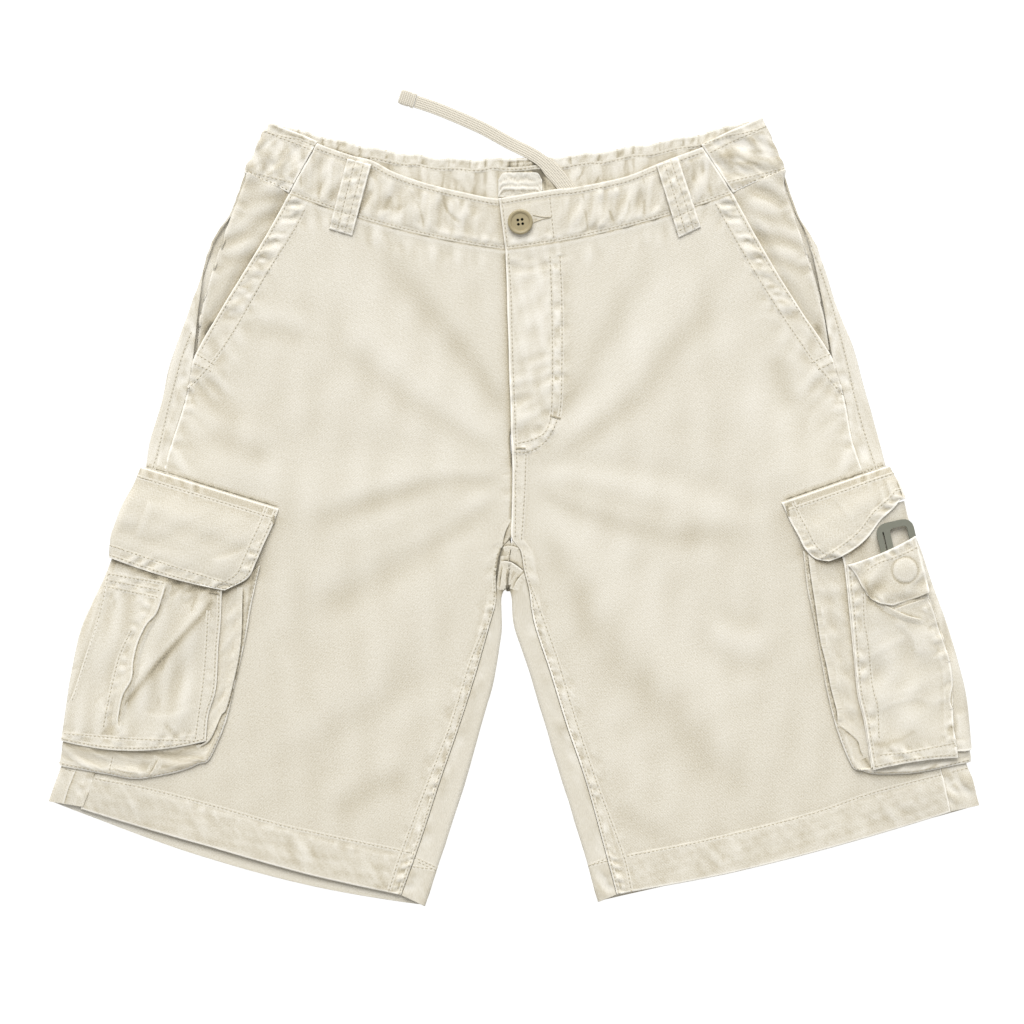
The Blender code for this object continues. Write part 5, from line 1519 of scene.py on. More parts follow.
def patch_grid():
    """The bare label inside the back: a strip with a round-cornered upper edge."""
    x0, x1, y0, y1 = PATCH
    grid = []
    for t in np.linspace(0, 1, 9):
        row = []
        for u in np.linspace(0, 1, 13):
            x = x0 + (x1 - x0) * u
            corner = max(0.0, abs(u - 0.5) * 2 - 0.62) / 0.38
            top = y1 - 6.0 * (1 - math.sqrt(max(0.0, 1 - corner ** 2)))
            row.append((x, top + (y0 - top) * t, BAND + SEAM + 0.7))
        grid.append(row)
    return np.array(grid)


def patch_shape(s):
    h = 0.45 * bell(s.top, 8.5, 1.6) + 0.3 * crumple(s.x, s.y, 12, 171, 2.0, 5)
    h += 0.10 * crumple(s.x, s.y, 4, 172)
    h += 0.5 * bell(s.top, 12.8, 1.3)
    # painted highlight on the label's fold, painted shade just below it
    s.tone += 0.4 * bell(s.top, 12.6, 1.0) - 1.0 * bell(s.top, 14.6, 0.8)
    return h


# ---- camera, light and table ----
CAMERA_AT = (-1.6, -0.8)
CAMERA_HEIGHT = 2400.0
VIEW_WIDE = 819.2       # what the view takes in across, at the height of the front cloth


def camera_and_light():
    """A lens straight above the table, a soft sun from the waist's side and an even sky."""
    scene = bpy.context.scene
    scene.view_settings.view_transform = "Standard"
    lens = bpy.data.cameras.new("camera")
    lens.sensor_width = 36
    lens.lens = 36 * (CAMERA_HEIGHT - LYING) / VIEW_WIDE
    lens.clip_end = 20
    camera = bpy.data.objects.new("camera", lens)
    camera.location = (CAMERA_AT[0] * MM, CAMERA_AT[1] * MM, CAMERA_HEIGHT * MM)
    scene.collection.objects.link(camera)
    scene.camera = camera
    world = bpy.data.worlds.new("studio")
    world.use_nodes = True
    sky = world.node_tree.nodes["Background"]
    sky.inputs["Color"].default_value = (1.0, 0.995, 0.985, 1)
    sky.inputs["Strength"].default_value = 0.50
    scene.world = world
    sun = bpy.data.lights.new("window", "SUN")
    sun.energy = 3.2
    sun.angle = math.radians(50)
    sun.color = (1.0, 0.99, 0.965)
    lamp = bpy.data.objects.new("window", sun)
    way = Vector((-0.10, 1.0, 0.80)).normalized()
    lamp.rotation_euler = way.to_track_quat("Z", "Y").to_euler()
    scene.collection.objects.link(lamp)


def table_top():
    """A plain white table just under the cloth."""
    bpy.ops.object.select_all(action="DESELECT")
    bpy.ops.mesh.primitive_plane_add(size=1.0)
    table = bpy.context.object
    table.name = "table"
    table.data.transform(Matrix.Diagonal((6.0, 6.0, 1.0, 1.0)))
    table.location = (0, 0, -0.6 * MM)
    paper = Finish("white_paper", (0.2, 0.2, 0.2), 0.9, Specular_IOR_Level=0.0,
                   Emission_Color=(1, 1, 1, 1), Emission_Strength=0.92)
    paper.tint(paper.noise(paper.place(), 4.0), (0, (0.20, 0.20, 0.20)), last=(1, (0.23, 0.23, 0.23)))
    table.data.materials.append(paper.material)


# ---- drawcord ----
CORD_ROUTE = ((48, 250, 2.95), (45, 254.5, 2.95), (41, 260, 2.95), (36, 266.5, 2.95), (30, 273, 2.95),
              (24, 279, 2.95), (18, 283.5, 2.85), (11, 287.5, 2.5), (4, 291, 1.7), (-4, 295, 0.95),
              (-13, 300, 0.85), (-24, 306, 0.85), (-37, 312, 0.85), (-51, 318, 0.85),
              (-65, 323.5, 0.85), (-79, 328.2, 0.85))
CORD_WIDE, CORD_THICK = 10.0, 1.6
CORD_RIB = 1.7          # from one lengthwise rib of the braid to the next
TIP_LONG, TIP_WIDE, TIP_THICK = 13.0, 12.0, 2.4
PATCH = (-12.5, 22.5, 251.5, 271.0)


def flattened(angle, wide, thick, round_off):
    """Half width and half height of a flattened ring at an angle."""
    c, q = math.cos(angle), math.sin(angle)
    return math.copysign(abs(c) ** round_off, c) * wide / 2, math.copysign(abs(q) ** 0.6, q) * thick / 2


def braid_tube(name, node, rings, weave):
    """A closed tube of braid through rings of points, in place of the cord's solid."""
    rows, columns = len(rings), len(rings[0])
    quads = []
    for i in range(rows - 1):
        for j in range(columns):
            k = (j + 1) % columns
            here, beyond = i * columns, (i + 1) * columns
            quads.append((here + j, here + k, beyond + k, beyond + j))
    quads.append(tuple(range(columns))[::-1])
    quads.append(tuple((rows - 1) * columns + j for j in range(columns)))
    made = mesh_object(name, np.reshape(rings, (-1, 3)), quads, BRAID, None, np.reshape(weave, (-1, 2)))
    fix_normals(made)
    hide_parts(node)
    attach(made, "root")
    return made


def drawcord():
    """The flat braid, swept along its route."""
    path = curve_through(CORD_ROUTE, np.linspace(0, 1, 150))
    tangent = np.gradient(path, axis=0)
    tangent /= np.linalg.norm(tangent, axis=1)[:, None]
    run = run_along(path)
    rings, weave = [], []
    for place, way, length in zip(path, tangent, run):
        over = np.cross((0, 0, 1), way)
        over /= np.linalg.norm(over)
        up = np.cross(way, over)
        spread = 1 + 0.30 * float(ramp(place[1], 282, -10))
        ring = []
        for angle in np.arange(24) * 2 * math.pi / 24:
            flat, thick = flattened(angle, CORD_WIDE * spread, CORD_THICK, 0.55)
            on_face = abs(math.sin(angle)) > 0.3
            dent = 1 - 0.16 * abs(math.sin(math.pi * (flat / CORD_RIB + 0.5))) * on_face
            ring.append(place + over * flat + up * thick * dent)
            weave.append((length, flat + 20))
        rings.append(ring)
    return braid_tube("cord_braid", "drawcord", rings, weave), path, run[-1]


def fix_normals(item):
    """Turn every face of a closed mesh outwards."""
    bm = bmesh.new()
    bm.from_mesh(item.data)
    bmesh.ops.recalc_face_normals(bm, faces=bm.faces)
    bm.to_mesh(item.data)
    bm.free()


def cord_end():
    """The folded end of the braid, wrapped and stitched."""
    last, before = np.array(CORD_ROUTE[-1][:2], float), np.array(CORD_ROUTE[-2][:2], float)
    along = (last - before) / np.linalg.norm(last - before)
    centre = last + along * (SEAM + TIP_LONG / 2)
    rings, weave = [], []
    for t in np.linspace(0, 1, 26):
        a = (t - 0.5) * TIP_LONG
        ease = (1 - (2 * max(t - 0.5, 0)) ** 6 * 0.22) * (1 - 0.10 * math.exp(-((a + 3.0) / 0.9) ** 2))
        ring = []
        for angle in np.arange(28) * 2 * math.pi / 28:
            b, h = flattened(angle, TIP_WIDE * ease, TIP_THICK * ease, 0.5)
            x, y = centre + a * along + b * np.array((-along[1], along[0]))
            ring.append((x, y, TIP_THICK / 2 + h))
            weave.append((b + 20, a))
        rings.append(ring)
    return braid_tube("cord_tip", "drawcord_tip", rings, weave)


# ---- sewing ----
class Skin:
    """All cloth faces together, to find what lies on top, or below, at a place."""

    def __init__(self):
        points, quads, self.owner = [], [], []
        start = 0
        for name, s in PIECES.items():
            rows, columns = s.x.shape
            for layer in [s.points] + [s.points - s.normal * s.wall] * s.down:
                points.append(layer.reshape(-1, 3))
                quads.append(quads_of(rows, columns) + start)
                self.owner += [name] * ((rows - 1) * (columns - 1))
                start += rows * columns
        self.tree = BVHTree.FromPolygons(np.concatenate(points).tolist(),
                                         np.concatenate(quads).tolist())

    def at(self, x, y, below=False):
        """Place, normal and piece that show at a point in plan."""
        way = 1 if below else -1
        place, normal, index, _ = self.tree.ray_cast(Vector((x, y, -80 * way)), Vector((0, 0, way)))
        if place is None:
            return None, None, None
        if normal.z * way > 0:
            normal = -normal
        return np.array(place), np.array(normal), self.owner[index]


def along_line(points, pitch):
    """Evenly spaced points and directions on a smooth line through the listed ones."""
    points = np.array(points, float)[:, :2]
    length = np.linalg.norm(np.diff(points, axis=0), axis=1).sum()
    count = max(2, int(round(length / pitch)) + 1)
    shares = np.linspace(0, 1, count)
    if len(points) > 2:
        line = curve_through(points, shares)
    else:
        line = points[0] + (points[-1] - points[0]) * shares[:, None]
    way = np.gradient(line, axis=0)
    return line, way / np.maximum(np.linalg.norm(way, axis=1, keepdims=True), 1e-9)


def thread_template():
    """Rings of one short stitch along X, thin at both ends where it dives into the cloth."""
    sides = 4
    rings = ((-0.7, 0.85, 0.1), (0.0, 1.0, 0.4), (0.7, 0.85, 0.1))
    points = [(-1.0, 0, -0.75)]
    for at, size, lifted in rings:
        for k in range(sides):
            angle = 2 * math.pi * k / sides + 0.3
            points.append((at, size * math.cos(angle), size * math.sin(angle) + lifted))
    points.append((1.0, 0, -0.75))
    faces = [(0, 1 + (k + 1) % sides, 1 + k) for k in range(sides)]
    for ring in range(len(rings) - 1):
        base = 1 + ring * sides
        faces += [(base + k, base + (k + 1) % sides, base + sides + (k + 1) % sides, base + sides + k)
                  for k in range(sides)]
    base = 1 + (len(rings) - 1) * sides
    faces += [(base + k, base + (k + 1) % sides, len(points) - 1) for k in range(sides)]
    return np.array(points), faces


PITCH = 3.4             # from one stitch to the next
STITCH_POINTS, STITCH_FACES = thread_template()
STITCHES = []           # place, direction, normal, half length, half width of each stitch
GROOVES = []            # grids of points and tones of the cloth drawn in under the stitches and of the strips along folded edges; the tones are painted highlight and shade


class Strip:
    """A strip of cloth along a line, drawn in under stitches and along folded edges, with tones of
    painted highlight and shade; begun anew wherever its piece ends.
    """

    def __init__(self, below=False):
        self.below = below
        self.rows, self.tones, self.run = [], [], []

    def add(self, row, tone, run):
        self.rows.append(row)
        self.tones.append(tone)
        self.run.append(run)

    def close(self):
        if len(self.rows) > 2:
            GROOVES.append((np.array(self.rows), np.array(self.tones), np.array(self.run), self.below))
        self.rows, self.tones, self.run = [], [], []


def stitch_row(skin, points, owner, pitch=PITCH, below=False, groove=True, half=None, wide=0.36):
    """A row of stitches on the piece that it belongs to, and the cloth drawn in under it."""
    dice = np.random.default_rng(len(STITCHES))
    half = half or pitch * 0.33
    for place, way in zip(*along_line(points, pitch)):
        hit, normal, piece = skin.at(*place, below)
        if piece != owner:
            continue
        way3 = np.array((*way, 0.0))
        way3 -= normal * way3.dot(normal)
        way3 /= np.linalg.norm(way3)
        slant = dice.uniform(-0.10, 0.10)
        way3 = way3 * math.cos(slant) + np.cross(normal, way3) * math.sin(slant)
        over_cloth = normal * (0.03 if groove else 0.12)
        STITCHES.append((hit + over_cloth, way3, normal, half * dice.uniform(0.9, 1.06), wide))
    if groove:
        cloth_groove(skin, points, owner, pitch, below)


# cross section of the cloth drawn in along a row of stitches; its tone paints highlight on the raised
# shoulders and shade in the groove
GROOVE_OFFSETS = np.array((-1.9, -1.1, -0.45, 0.45, 1.1, 1.9))
GROOVE_RISE = np.array((-0.06, 0.14, 0.04, 0.04, 0.14, -0.06))
GROOVE_PAINTED_HIGHLIGHT_AND_SHADE = np.array((0.0, 0.30, -0.05, -0.05, 0.30, 0.0))
LAYER_STEP = 1.2        # a greater step in height is the edge of another piece
FOLD_STEP = 1.5         # the same beside a folded edge, whose cloth may slope more


def cloth_groove(skin, points, owner, pitch, below):
    """The cloth drawn in along a row of stitches, a little deeper at each stitch."""
    step = pitch / 3
    strip = Strip(below)
    for i, (place, way) in enumerate(zip(*along_line(points, step))):
        over = np.array((-way[1], way[0]))
        between = 0.5 - 0.5 * math.cos(2 * math.pi * i / 3)
        hits = [skin.at(*(place + over * offset), below) for offset in GROOVE_OFFSETS]
        if any(piece != owner for _, _, piece in hits):
            strip.close()
            continue
        row = [hit + normal * (up * (0.6 + 0.6 * between) if up > 0 else up)
               for (hit, normal, _), up in zip(hits, GROOVE_RISE)]
        if strip.rows and abs(row[2][2] - strip.rows[-1][2][2]) > LAYER_STEP:
            strip.close()
        strip.add(row, GROOVE_PAINTED_HIGHLIGHT_AND_SHADE * (0.7 + 0.5 * between), i * step)
    strip.close()


# cross section of a folded edge that lies on other cloth: from the raised side to the low side; the
# fold paler from wear and a painted highlight, painted shade beside it on the low side
EDGE_OFFSETS = np.array((-5.0, -3.0, -1.6, -0.8, -0.35, 0.1, 0.4, 0.8, 1.6, 3.0, 5.5))
EDGE_RISE = np.array((-0.05, 0.14, 0.34, 0.52, 0.58, 0.42, 0.12, 0.06, 0.06, 0.06, -0.05))
EDGE_WEAR_AND_PAINTED_HIGHLIGHT = np.array((0.0, 0.0, 0.0, 0.5, 1.3, 1.2, 0, 0, 0, 0, 0))
EDGE_PAINTED_SHADE = np.array((0, 0, 0, 0, 0, 0, -1.4, -1.5, -0.55, -0.25, 0.0))
EDGE_STEP = 1.2


def folded_edge(skin, points, owner, high, wear_and_painted_highlight, painted_shade):
    """A folded edge of cloth lying on a piece: raised on the line's left, sharp along the line, paler
    on the fold from wear and a painted highlight, with painted shade on the low side.
    """
    owners = (owner,) if isinstance(owner, str) else owner
    line, ways = along_line(points, EDGE_STEP)
    strip, last = Strip(), 0.0
    for i, (place, way) in enumerate(zip(line, ways)):
        over = np.array((-way[1], way[0]))
        fade = float(ramp(i, -1, 6) * smoothstep((len(line) - i) / 6))
        hits = [skin.at(*(place - over * offset)) for offset in EDGE_OFFSETS]
        on = [piece in owners for _, _, piece in hits]
        middle = on[4] and on[5] and on[6]
        if not middle or (strip.rows and abs(hits[5][0][2] - last) > FOLD_STEP):
            strip.close()
            if not middle:
                continue
        last = hits[5][0][2]
        row = [hit + normal * (up * high * fade if up > 0.1 else up) if here else None
               for (hit, normal, _), up, here in zip(hits, EDGE_RISE, on)]
        # where the strip would leave its piece it is drawn in to the last point that lies on it
        for k in (3, 2, 1, 0):
            if row[k] is None or (k < 3 and row[k + 1] is None):
                row[k] = row[k + 1] + np.array((*over, 0.0)) * 0.05
        for k in (7, 8, 9, 10):
            if row[k] is None or abs(row[k][2] - row[k - 1][2]) > FOLD_STEP:
                row[k] = row[k - 1] - np.array((*over, 0.0)) * 0.05
        uneven = 0.9 + 0.25 * math.sin(i * 0.9) * math.sin(i * 0.23)
        strip.add(row, (EDGE_WEAR_AND_PAINTED_HIGHLIGHT * wear_and_painted_highlight + EDGE_PAINTED_SHADE * painted_shade) * fade * uneven, i * EDGE_STEP)
    strip.close()


BAR_PITCH, BAR_WIDE = 0.62, 2.2


def bartack(skin, start, end, owner):
    """A short dense bar of stitches."""
    start, end = np.array(start, float), np.array(end, float)
    length = np.linalg.norm(end - start)
    way = (end - start) / length
    over = np.array((-way[1], way[0], 0.0))
    for t in np.linspace(0, 1, max(3, int(length / BAR_PITCH))):
        hit, normal, piece = skin.at(*(start + (end - start) * t))
        if piece != owner:
            continue
        across = over - normal * over.dot(normal)
        across /= np.linalg.norm(across)
        STITCHES.append((hit + normal * 0.25, across, normal, BAR_WIDE / 2, 0.33))


WEAVE_SHIFT = 31.7      # so that no strip repeats the grain of the one before


def make_sewing():
    """The stitches as one mesh; the drawn-in cloth and the folded-edge strips, with their painted
    highlight and shade, as the other.
    """
    points, faces = [], []
    count = len(STITCH_POINTS)
    for k, (place, way, normal, half, wide) in enumerate(STITCHES):
        over = np.cross(normal, way)
        local = STITCH_POINTS * (half, wide, wide * 0.75)
        points.append(place + local[:, :1] * way + local[:, 1:2] * over + local[:, 2:] * normal)
        faces += [tuple(v + k * count for v in face) for face in STITCH_FACES]
    points = np.concatenate(points)
    points[:, 2] = np.maximum(points[:, 2], LIFT)
    sewing = mesh_object("topstitching", points, faces, THREAD)
    fix_normals(sewing)
    points, quads, tones, weave = [], [], [], []
    start = 0
    for rows, tone, run, below in GROOVES:
        length, wide = rows.shape[:2]
        points.append(rows.reshape(-1, 3))
        grid = quads_of(length, wide) + start
        first = rows[1, 0] - rows[0, 0]
        second = rows[0, 1] - rows[0, 0]
        upwards = np.cross(second, first)[2] > 0
        quads.append(grid[:, ::-1] if upwards != below else grid)
        tones.append(tone.ravel())
        across = np.cumsum(np.diff(rows[0], axis=0, prepend=rows[:1, 0]), axis=0)
        across = np.linalg.norm(across, axis=1)
        weave.append(np.stack([np.tile(across, length) + WEAVE_SHIFT * len(weave),
                               np.repeat(run, wide)], axis=1))
        start += length * wide
    points = np.concatenate(points)
    points[:, 2] = np.maximum(points[:, 2], LIFT)
    drawn = mesh_object("sewn_rows", points, np.concatenate(quads), TWILL,
                        {"tone": np.concatenate(tones)}, np.concatenate(weave))
    for item in (sewing, drawn):
        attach(item, "root")


# rows of stitches in plan, with the piece that they are sewn through
ROWS = (
    # fly
    ("front_left", ((-4.4, 205), (-2.4, 172.8), (-1.2, 127), (1.2, 65.6), (2.4, 36))),
    ("front_left", ((28.8, 203), (30.4, 157.6), (30.4, 88.8), (27.2, 67.2), (18.4, 58.4), (1, 53.6))),
    ("front_left", ((36.8, 203), (38.4, 157.6), (37.6, 88.8), (33.6, 70.4), (24.8, 55.2),
                    (11.2, 47.2), (1, 47.2))),
    ("front_left", ((9.6, 45), (8.8, 22.4), (7.2, -5.6), (6, -22))),
    ("front_left", ((1.4, 32), (1.2, 0), (1, -20))),
    # slash pockets: the second row of the turned band, and the one along its edge
    ("front_right", ((-168, 240), (-176.8, 223.2), (-197.6, 190.4), (-223.2, 145.6), (-242.4, 117.6),
                     (-260, 98.4))),
    ("front_left", ((161.6, 245), (180.8, 211.2), (208, 166.4), (232.8, 129.6), (241.6, 117.6),
                    (262.4, 93.6))),
    ("front_right", ((-178.6, 251), (-195, 221.8), (-215, 188.8), (-234, 158), (-249, 131))),
    ("front_left", ((173.4, 251), (191, 219.8), (209, 188.8), (229.5, 158), (246, 131))),
    ("front_right", ((-253, 125), (-241, 117.5))), ("front_right", ((-255, 117.5), (-243, 112))),
    ("front_left", ((252, 125), (239, 119))), ("front_left", ((254.5, 118.5), (244, 113.5))),
    # side seams, on the back
    ("back_right", ((-258.4, 142.4), (-266.4, 120.8), (-276, 84.8), (-284, 50.4), (-291, 26))),
    ("back_left", ((234.4, 221.6), (252, 172), (264, 128), (276, 77.6), (288, 37.6), (292, 26))),
    # inseams
    ("front_right", ((-24, -94.4), (-35.2, -121.6), (-49.6, -168), (-68, -215.2), (-89.6, -272),
                     (-100, -303))),
    ("front_left", ((13.6, -60.8), (32.8, -112.8), (49.6, -168), (68, -222.4), (87.2, -274.4),
                    (94, -304))),
    # hems
    ("front_right", ((-350, -208), (-335.2, -213.6), (-295.2, -221.6), (-243.2, -235.2),
                     (-186.4, -251.2),
                     (-136, -262.4), (-85.6, -272.8), (-84, -273.2))),
    ("back_right", ((-364, -204), (-352, -208))),
    ("back_right", ((-82, -276), (-61.6, -285.6))),
    ("front_left", ((91.2, -276), (148.8, -264.8), (202.4, -252), (245.6, -240), (288.8, -224.8),
                    (340, -211.2),
                    (350, -208.6))),
    ("back_left", ((351, -208.4), (364.8, -204.8))),
    ("back_left", ((60, -284), (84, -277.6))),
    # waistband upright row beside the button
    ("waistband_front_left", ((28.8, 249.6), (32, 216))),
    # left side pocket, wearer's right
    ("cargo_pocket_right", ((-244, -79.2), (-247.2, -127.2), (-250.4, -152.8), (-254.4, -181))),
    ("cargo_pocket_right", ((-305.6, -96), (-315.2, -117.6), (-324, -154.4), (-327.2, -171.2))),
    ("cargo_pocket_right", ((-324, -51.2), (-329.6, -79.2), (-340.8, -116), (-352, -150))),
    ("cargo_pocket_right", ((-358, -177.6), (-318.4, -180.8), (-291.2, -182.4), (-256, -183.6))),
    ("cargo_pocket_right", ((-323.2, -50.4), (-280, -57.6))),
    ("cargo_pocket_right", ((-324.8, -55.2), (-283.2, -63.2))),
    ("cargo_pocket_right", ((-326.4, -60), (-284.8, -68.8))),
    # right side pocket, wearer's left
    ("phone_pocket", ((278, -65.5), (279, -88.5), (281, -99), (283, -115), (285, -135), (287, -145.5),
                      (290, -157.5), (291, -180))),
    ("phone_pocket", ((293, -194.5), (314, -192.5), (334, -188.5), (349, -185.5), (363, -181))),
    ("phone_pocket_cuff", ((281.5, -46.5), (291, -41), (303, -37), (317, -31), (325.5, -25.5))),
    ("cargo_bellows_right", ((-320.5, -197), (-322.5, -206.5), (-321, -212))),
)


def border_line(name, border, inset, start, end):
    """A line at a distance inside one border of a fine piece."""
    s = PIECES[name]
    distance = getattr(s, border)
    across_columns = border in ("left", "right")
    grid = s.points if across_columns else s.points.transpose(1, 0, 2)
    gaps = distance if across_columns else distance.T
    if border in ("right", "bottom"):
        grid, gaps = grid[:, ::-1], gaps[:, ::-1]
    line = np.array([[np.interp(inset, gaps[i], grid[i, :, k]) for k in range(3)]
                     for i in range(len(grid))])
    last = len(line) - 1
    return line[np.unique(np.linspace(start * last, end * last, 60).astype(int))]


# rows that follow a border: piece (* stands for both sides), border, inset, and the part of
# the border that is sewn, from and to
BORDER_ROWS = (
    ("front_right", "left", 1.0, 0.9, 1.0), ("front_*", "right", 2.0, 0.56, 0.995),
    ("waistband_front_*", "top", 4.2, 0.0, 1.0), ("waistband_front_*", "bottom", 2.4, 0.0, 1.0),
    ("waistband_front_left", "right", 2.2, 0.0, 1.0), ("waistband_back", "top", 8.8, 0.0, 1.0),
    ("waistband_back", "bottom", 1.9, 0.0, 1.0), ("belt_loop_right", "left", 6.6, 0.0, 1.0),
    ("belt_loop_right", "right", 6.2, 0.0, 1.0), ("belt_loop_left", "left", 6.6, 0.0, 1.0),
    ("belt_loop_left", "right", 6.2, 0.0, 1.0), ("belt_loop_*", "bottom", 5.0, 0.0, 1.0),
    ("belt_loop_*", "bottom", 16.0, 0.0, 1.0), ("cargo_flap_right", "top", 8.6, 0.0, 0.8),
    ("cargo_flap_right", "bottom", 2.4, 0.0, 0.8), ("cargo_flap_right", "bottom", 10.0, 0.06, 0.8),
    ("cargo_flap_right", "left", 2.4, 0.0, 1.0), ("cargo_flap_right", "left", 10.0, 0.08, 0.9),
    ("cargo_flap_left", "top", 7.6, 0.0, 0.8), ("cargo_flap_left", "bottom", 8.5, 0.06, 0.7),
    ("cargo_flap_left", "left", 9.0, 0.1, 0.9), ("cargo_bellows_*", "bottom", 2.2, 0.0, 0.85),
    ("phone_pocket", "left", 2.4, 0.0, 1.0), ("phone_pocket", "bottom", 2.4, 0.0, 1.0),
    ("cargo_pocket_right", "left", 2.2, 0.1, 1.0), ("cargo_pocket_right", "bottom", 2.2, 0.0, 0.75),
    ("back_*", "bottom", 30.0, 0.3, 0.95),
)
# short bars where the strain is: piece, start, end
BARTACKS = (
    ("front_left", (1.5, 50), (9, 50)), ("front_left", (29, 76), (37, 74)),
    ("cargo_flap_right", (-192, -4), (-192.5, -12)), ("cargo_flap_left", (218, 4), (219.5, -4)),
    ("cargo_pocket_right", (-236, -66), (-243, -65)),
)
# buttonhole: the two sewn lips
BUTTONHOLE = (((15.5, 236.5), (23, 235), (29.5, 235)), ((15, 230.5), (22, 233), (29, 234.5)))
# folded edges: piece, line with the raised cloth on its left, height, paleness from wear and painted
# highlight, depth of the painted shade
FOLDED_EDGES = (
    ("front_right", ((-10, -29.5), (-7.5, -17.5), (-2.5, -7)), 0.5, 0.2, 1.6),
    ("phone_pocket", ((325.5, -86.5), (312, -83), (295, -75), (283, -70.5)), 0.9, 0.25, 0.8),
    ("phone_pocket", ((329, -69.5), (313, -74.5), (301, -79)), 0.6, 0.2, 0.7),
    ("cargo_pocket_right", ((-316, -171), (-315.5, -163), (-312, -147), (-305, -134),
                            (-303.5, -119.5), (-300, -105), (-293, -90.5), (-285.5, -82), (-281, -70),
                            (-277.5, -58)), 1.3, 1.0, 1.0),
    ("cargo_bellows_right", ((-253, -189.5), (-243, -182.5), (-234.5, -164), (-229, -154.5),
                             (-219, -109), (-217, -61)), 0.9, 0.3, 1.6),
    ("cargo_bellows_right", ((-321.5, -205), (-309, -208), (-300, -209)), 0.5, 0.2, 0.6),
    ("cargo_bellows_right", ((-283, -197), (-288, -206.5), (-293, -213.5)), 0.8, 0.0, 0.9),
    ("cargo_bellows_left", ((235, -33.5), (238, -56.5), (241, -75), (245, -103), (249.5, -121.5),
                            (253.5, -141.5), (258, -159), (259, -169.5)), 0.9, 0.5, 1.4),
    ("cargo_bellows_left", ((259, -170.5), (267, -176.5), (275, -184), (277, -191),
                            (280, -197.5)), 0.9, 0.2, 1.0),
    ("phone_pocket", ((352, -179), (350.5, -161.5), (347.5, -151), (349.5, -137.5), (348.5, -125.5),
                      (343.5, -108.5), (338.5, -95), (333.5, -79), (328.5, -69)), 0.9, 1.0, 0.6),
    ("phone_pocket", ((349, -181), (353, -189), (353, -193.5)), 0.6, 0.8, 0.6),
    (("back_right", "back_left"), ((9, -39), (7, -34), (2.5, -29.5), (-4.5, -28),
     (-10, -29.5)), 0.5, 0.1, 1.3),
    (("back_right", "back_left"), ((9, -49.5), (3.5, -45), (-3, -41), (-11, -40)), 0.7, 0.8, 2.2),
    (("back_right", "back_left"), ((-7, -59), (-6.5, -51), (-4, -44)), 0.4, 0.1, 0.8),
    ("back_left", ((7.5, -30.5), (9.5, -41), (11.5, -50.5), (15, -63), (21, -81)), 0.6, 0.3, 1.4),
    ("back_left", ((11.5, -47), (5.5, -52), (1.5, -57.5), (-0.5, -63)), 0.4, 0.2, 1.2),
    ("back_right", ((-8.5, -43), (-10, -53.5), (-11, -63)), 0.3, 0.1, 1.2),
    ("back_right", ((-361, -238.5), (-357, -224), (-349.5, -205)), 0.6, 0.8, 0.7),
    ("cargo_flap_left", ((305.5, 25.5), (308, 18.5), (311, 9.5)), 1.0, 0.8, 1.4),
    ("cargo_pocket_right", ((-330.5, -83), (-336.5, -101.5), (-343.5, -121), (-349.5, -141),
                            (-355, -153)), 0.35, 0.6, 0.4),
    ("cargo_pocket_right", ((-325, -52), (-327, -68), (-330.5, -83)), 0.35, 0.6, 0.4),
)


def just_outside(name, border, out, start, end):
    """A line a little outside one border of a piece, with the piece on its left."""
    edge = border_line(name, border, 0.0, start, end)[:, :2]
    inwards = border_line(name, border, 3.0, start, end)[:, :2] - edge
    inwards /= np.linalg.norm(inwards, axis=1, keepdims=True)
    way = np.gradient(edge, axis=0)
    line = edge - inwards * out
    return line if (way[:, 0] * inwards[:, 1] - way[:, 1] * inwards[:, 0]).sum() > 0 else line[::-1]


def sew_all():
    skin = Skin()
    # painted shade on the leg along the top of each flap
    for side in ("right", "left"):
        folded_edge(skin, just_outside(f"cargo_flap_{side}", "top", 0.5, 0.02, 0.98),
                    (f"front_{side}", f"back_{side}"), 0.1, 0.0, 1.4)
    for owner, points, high, wear_and_painted_highlight, painted_shade in FOLDED_EDGES:
        folded_edge(skin, points, owner, high, wear_and_painted_highlight, painted_shade)
    for owner, points in ROWS:
        stitch_row(skin, points, owner)
    for pieces, border, inset, start, end in BORDER_ROWS:
        for owner in [pieces.replace("*", side) for side in ("right", "left")[:1 + ("*" in pieces)]]:
            line = border_line(owner, border, inset, start, end)
            stitch_row(skin, line, owner)
            if owner.startswith(("back_", "waistband_back", "cargo_bellows")):
                stitch_row(skin, line, owner, below=True)
    for owner, start, end in BARTACKS:
        bartack(skin, start, end, owner)
    for lip in BUTTONHOLE:
        stitch_row(skin, lip, "waistband_front_left", pitch=0.9, groove=False, half=0.6, wide=0.42)
    make_sewing()


# ---- all pieces ----
# how far the lower edges hang below the pattern, by place across
HANG = {
    "front_right": ((-240, 0), (-165, 2.2), (-60, 2.4)),
    "front_left": ((100, 0), (170, 1.6), (360, 1.6)),
    "back_right": ((-330, -2.0), (-270, 0), (-165, 2.2), (-60, 2.4)),
    "back_left": ((100, 0), (170, 1.6), (360, 1.2)),
}


def hung(name, grid):
    """The panel's grid with its lower edge let down."""
    places, drops = zip(*HANG[name])
    grid[:, :, 1] -= np.interp(grid[:, :, 0], places, drops) * ramp(grid[:, :, 1], -190, -50)
    if name == "back_left":
        grid[:, :, 0] += (3.5 * ramp(grid[:, :, 1], 195, 30) * ramp(grid[:, :, 0], 180, 30)
                          * ramp(grid[:, :, 1], 252, -14))
        return widened(grid, 0.0, 1.3, (40, 150))
    if name == "back_right":
        return widened(grid, 3.0, 0.0, (40, 262))
    return grid


TURN_WIDE, TURN_SOFT = 26, 18       # how much of a grid goes with the turn at its side


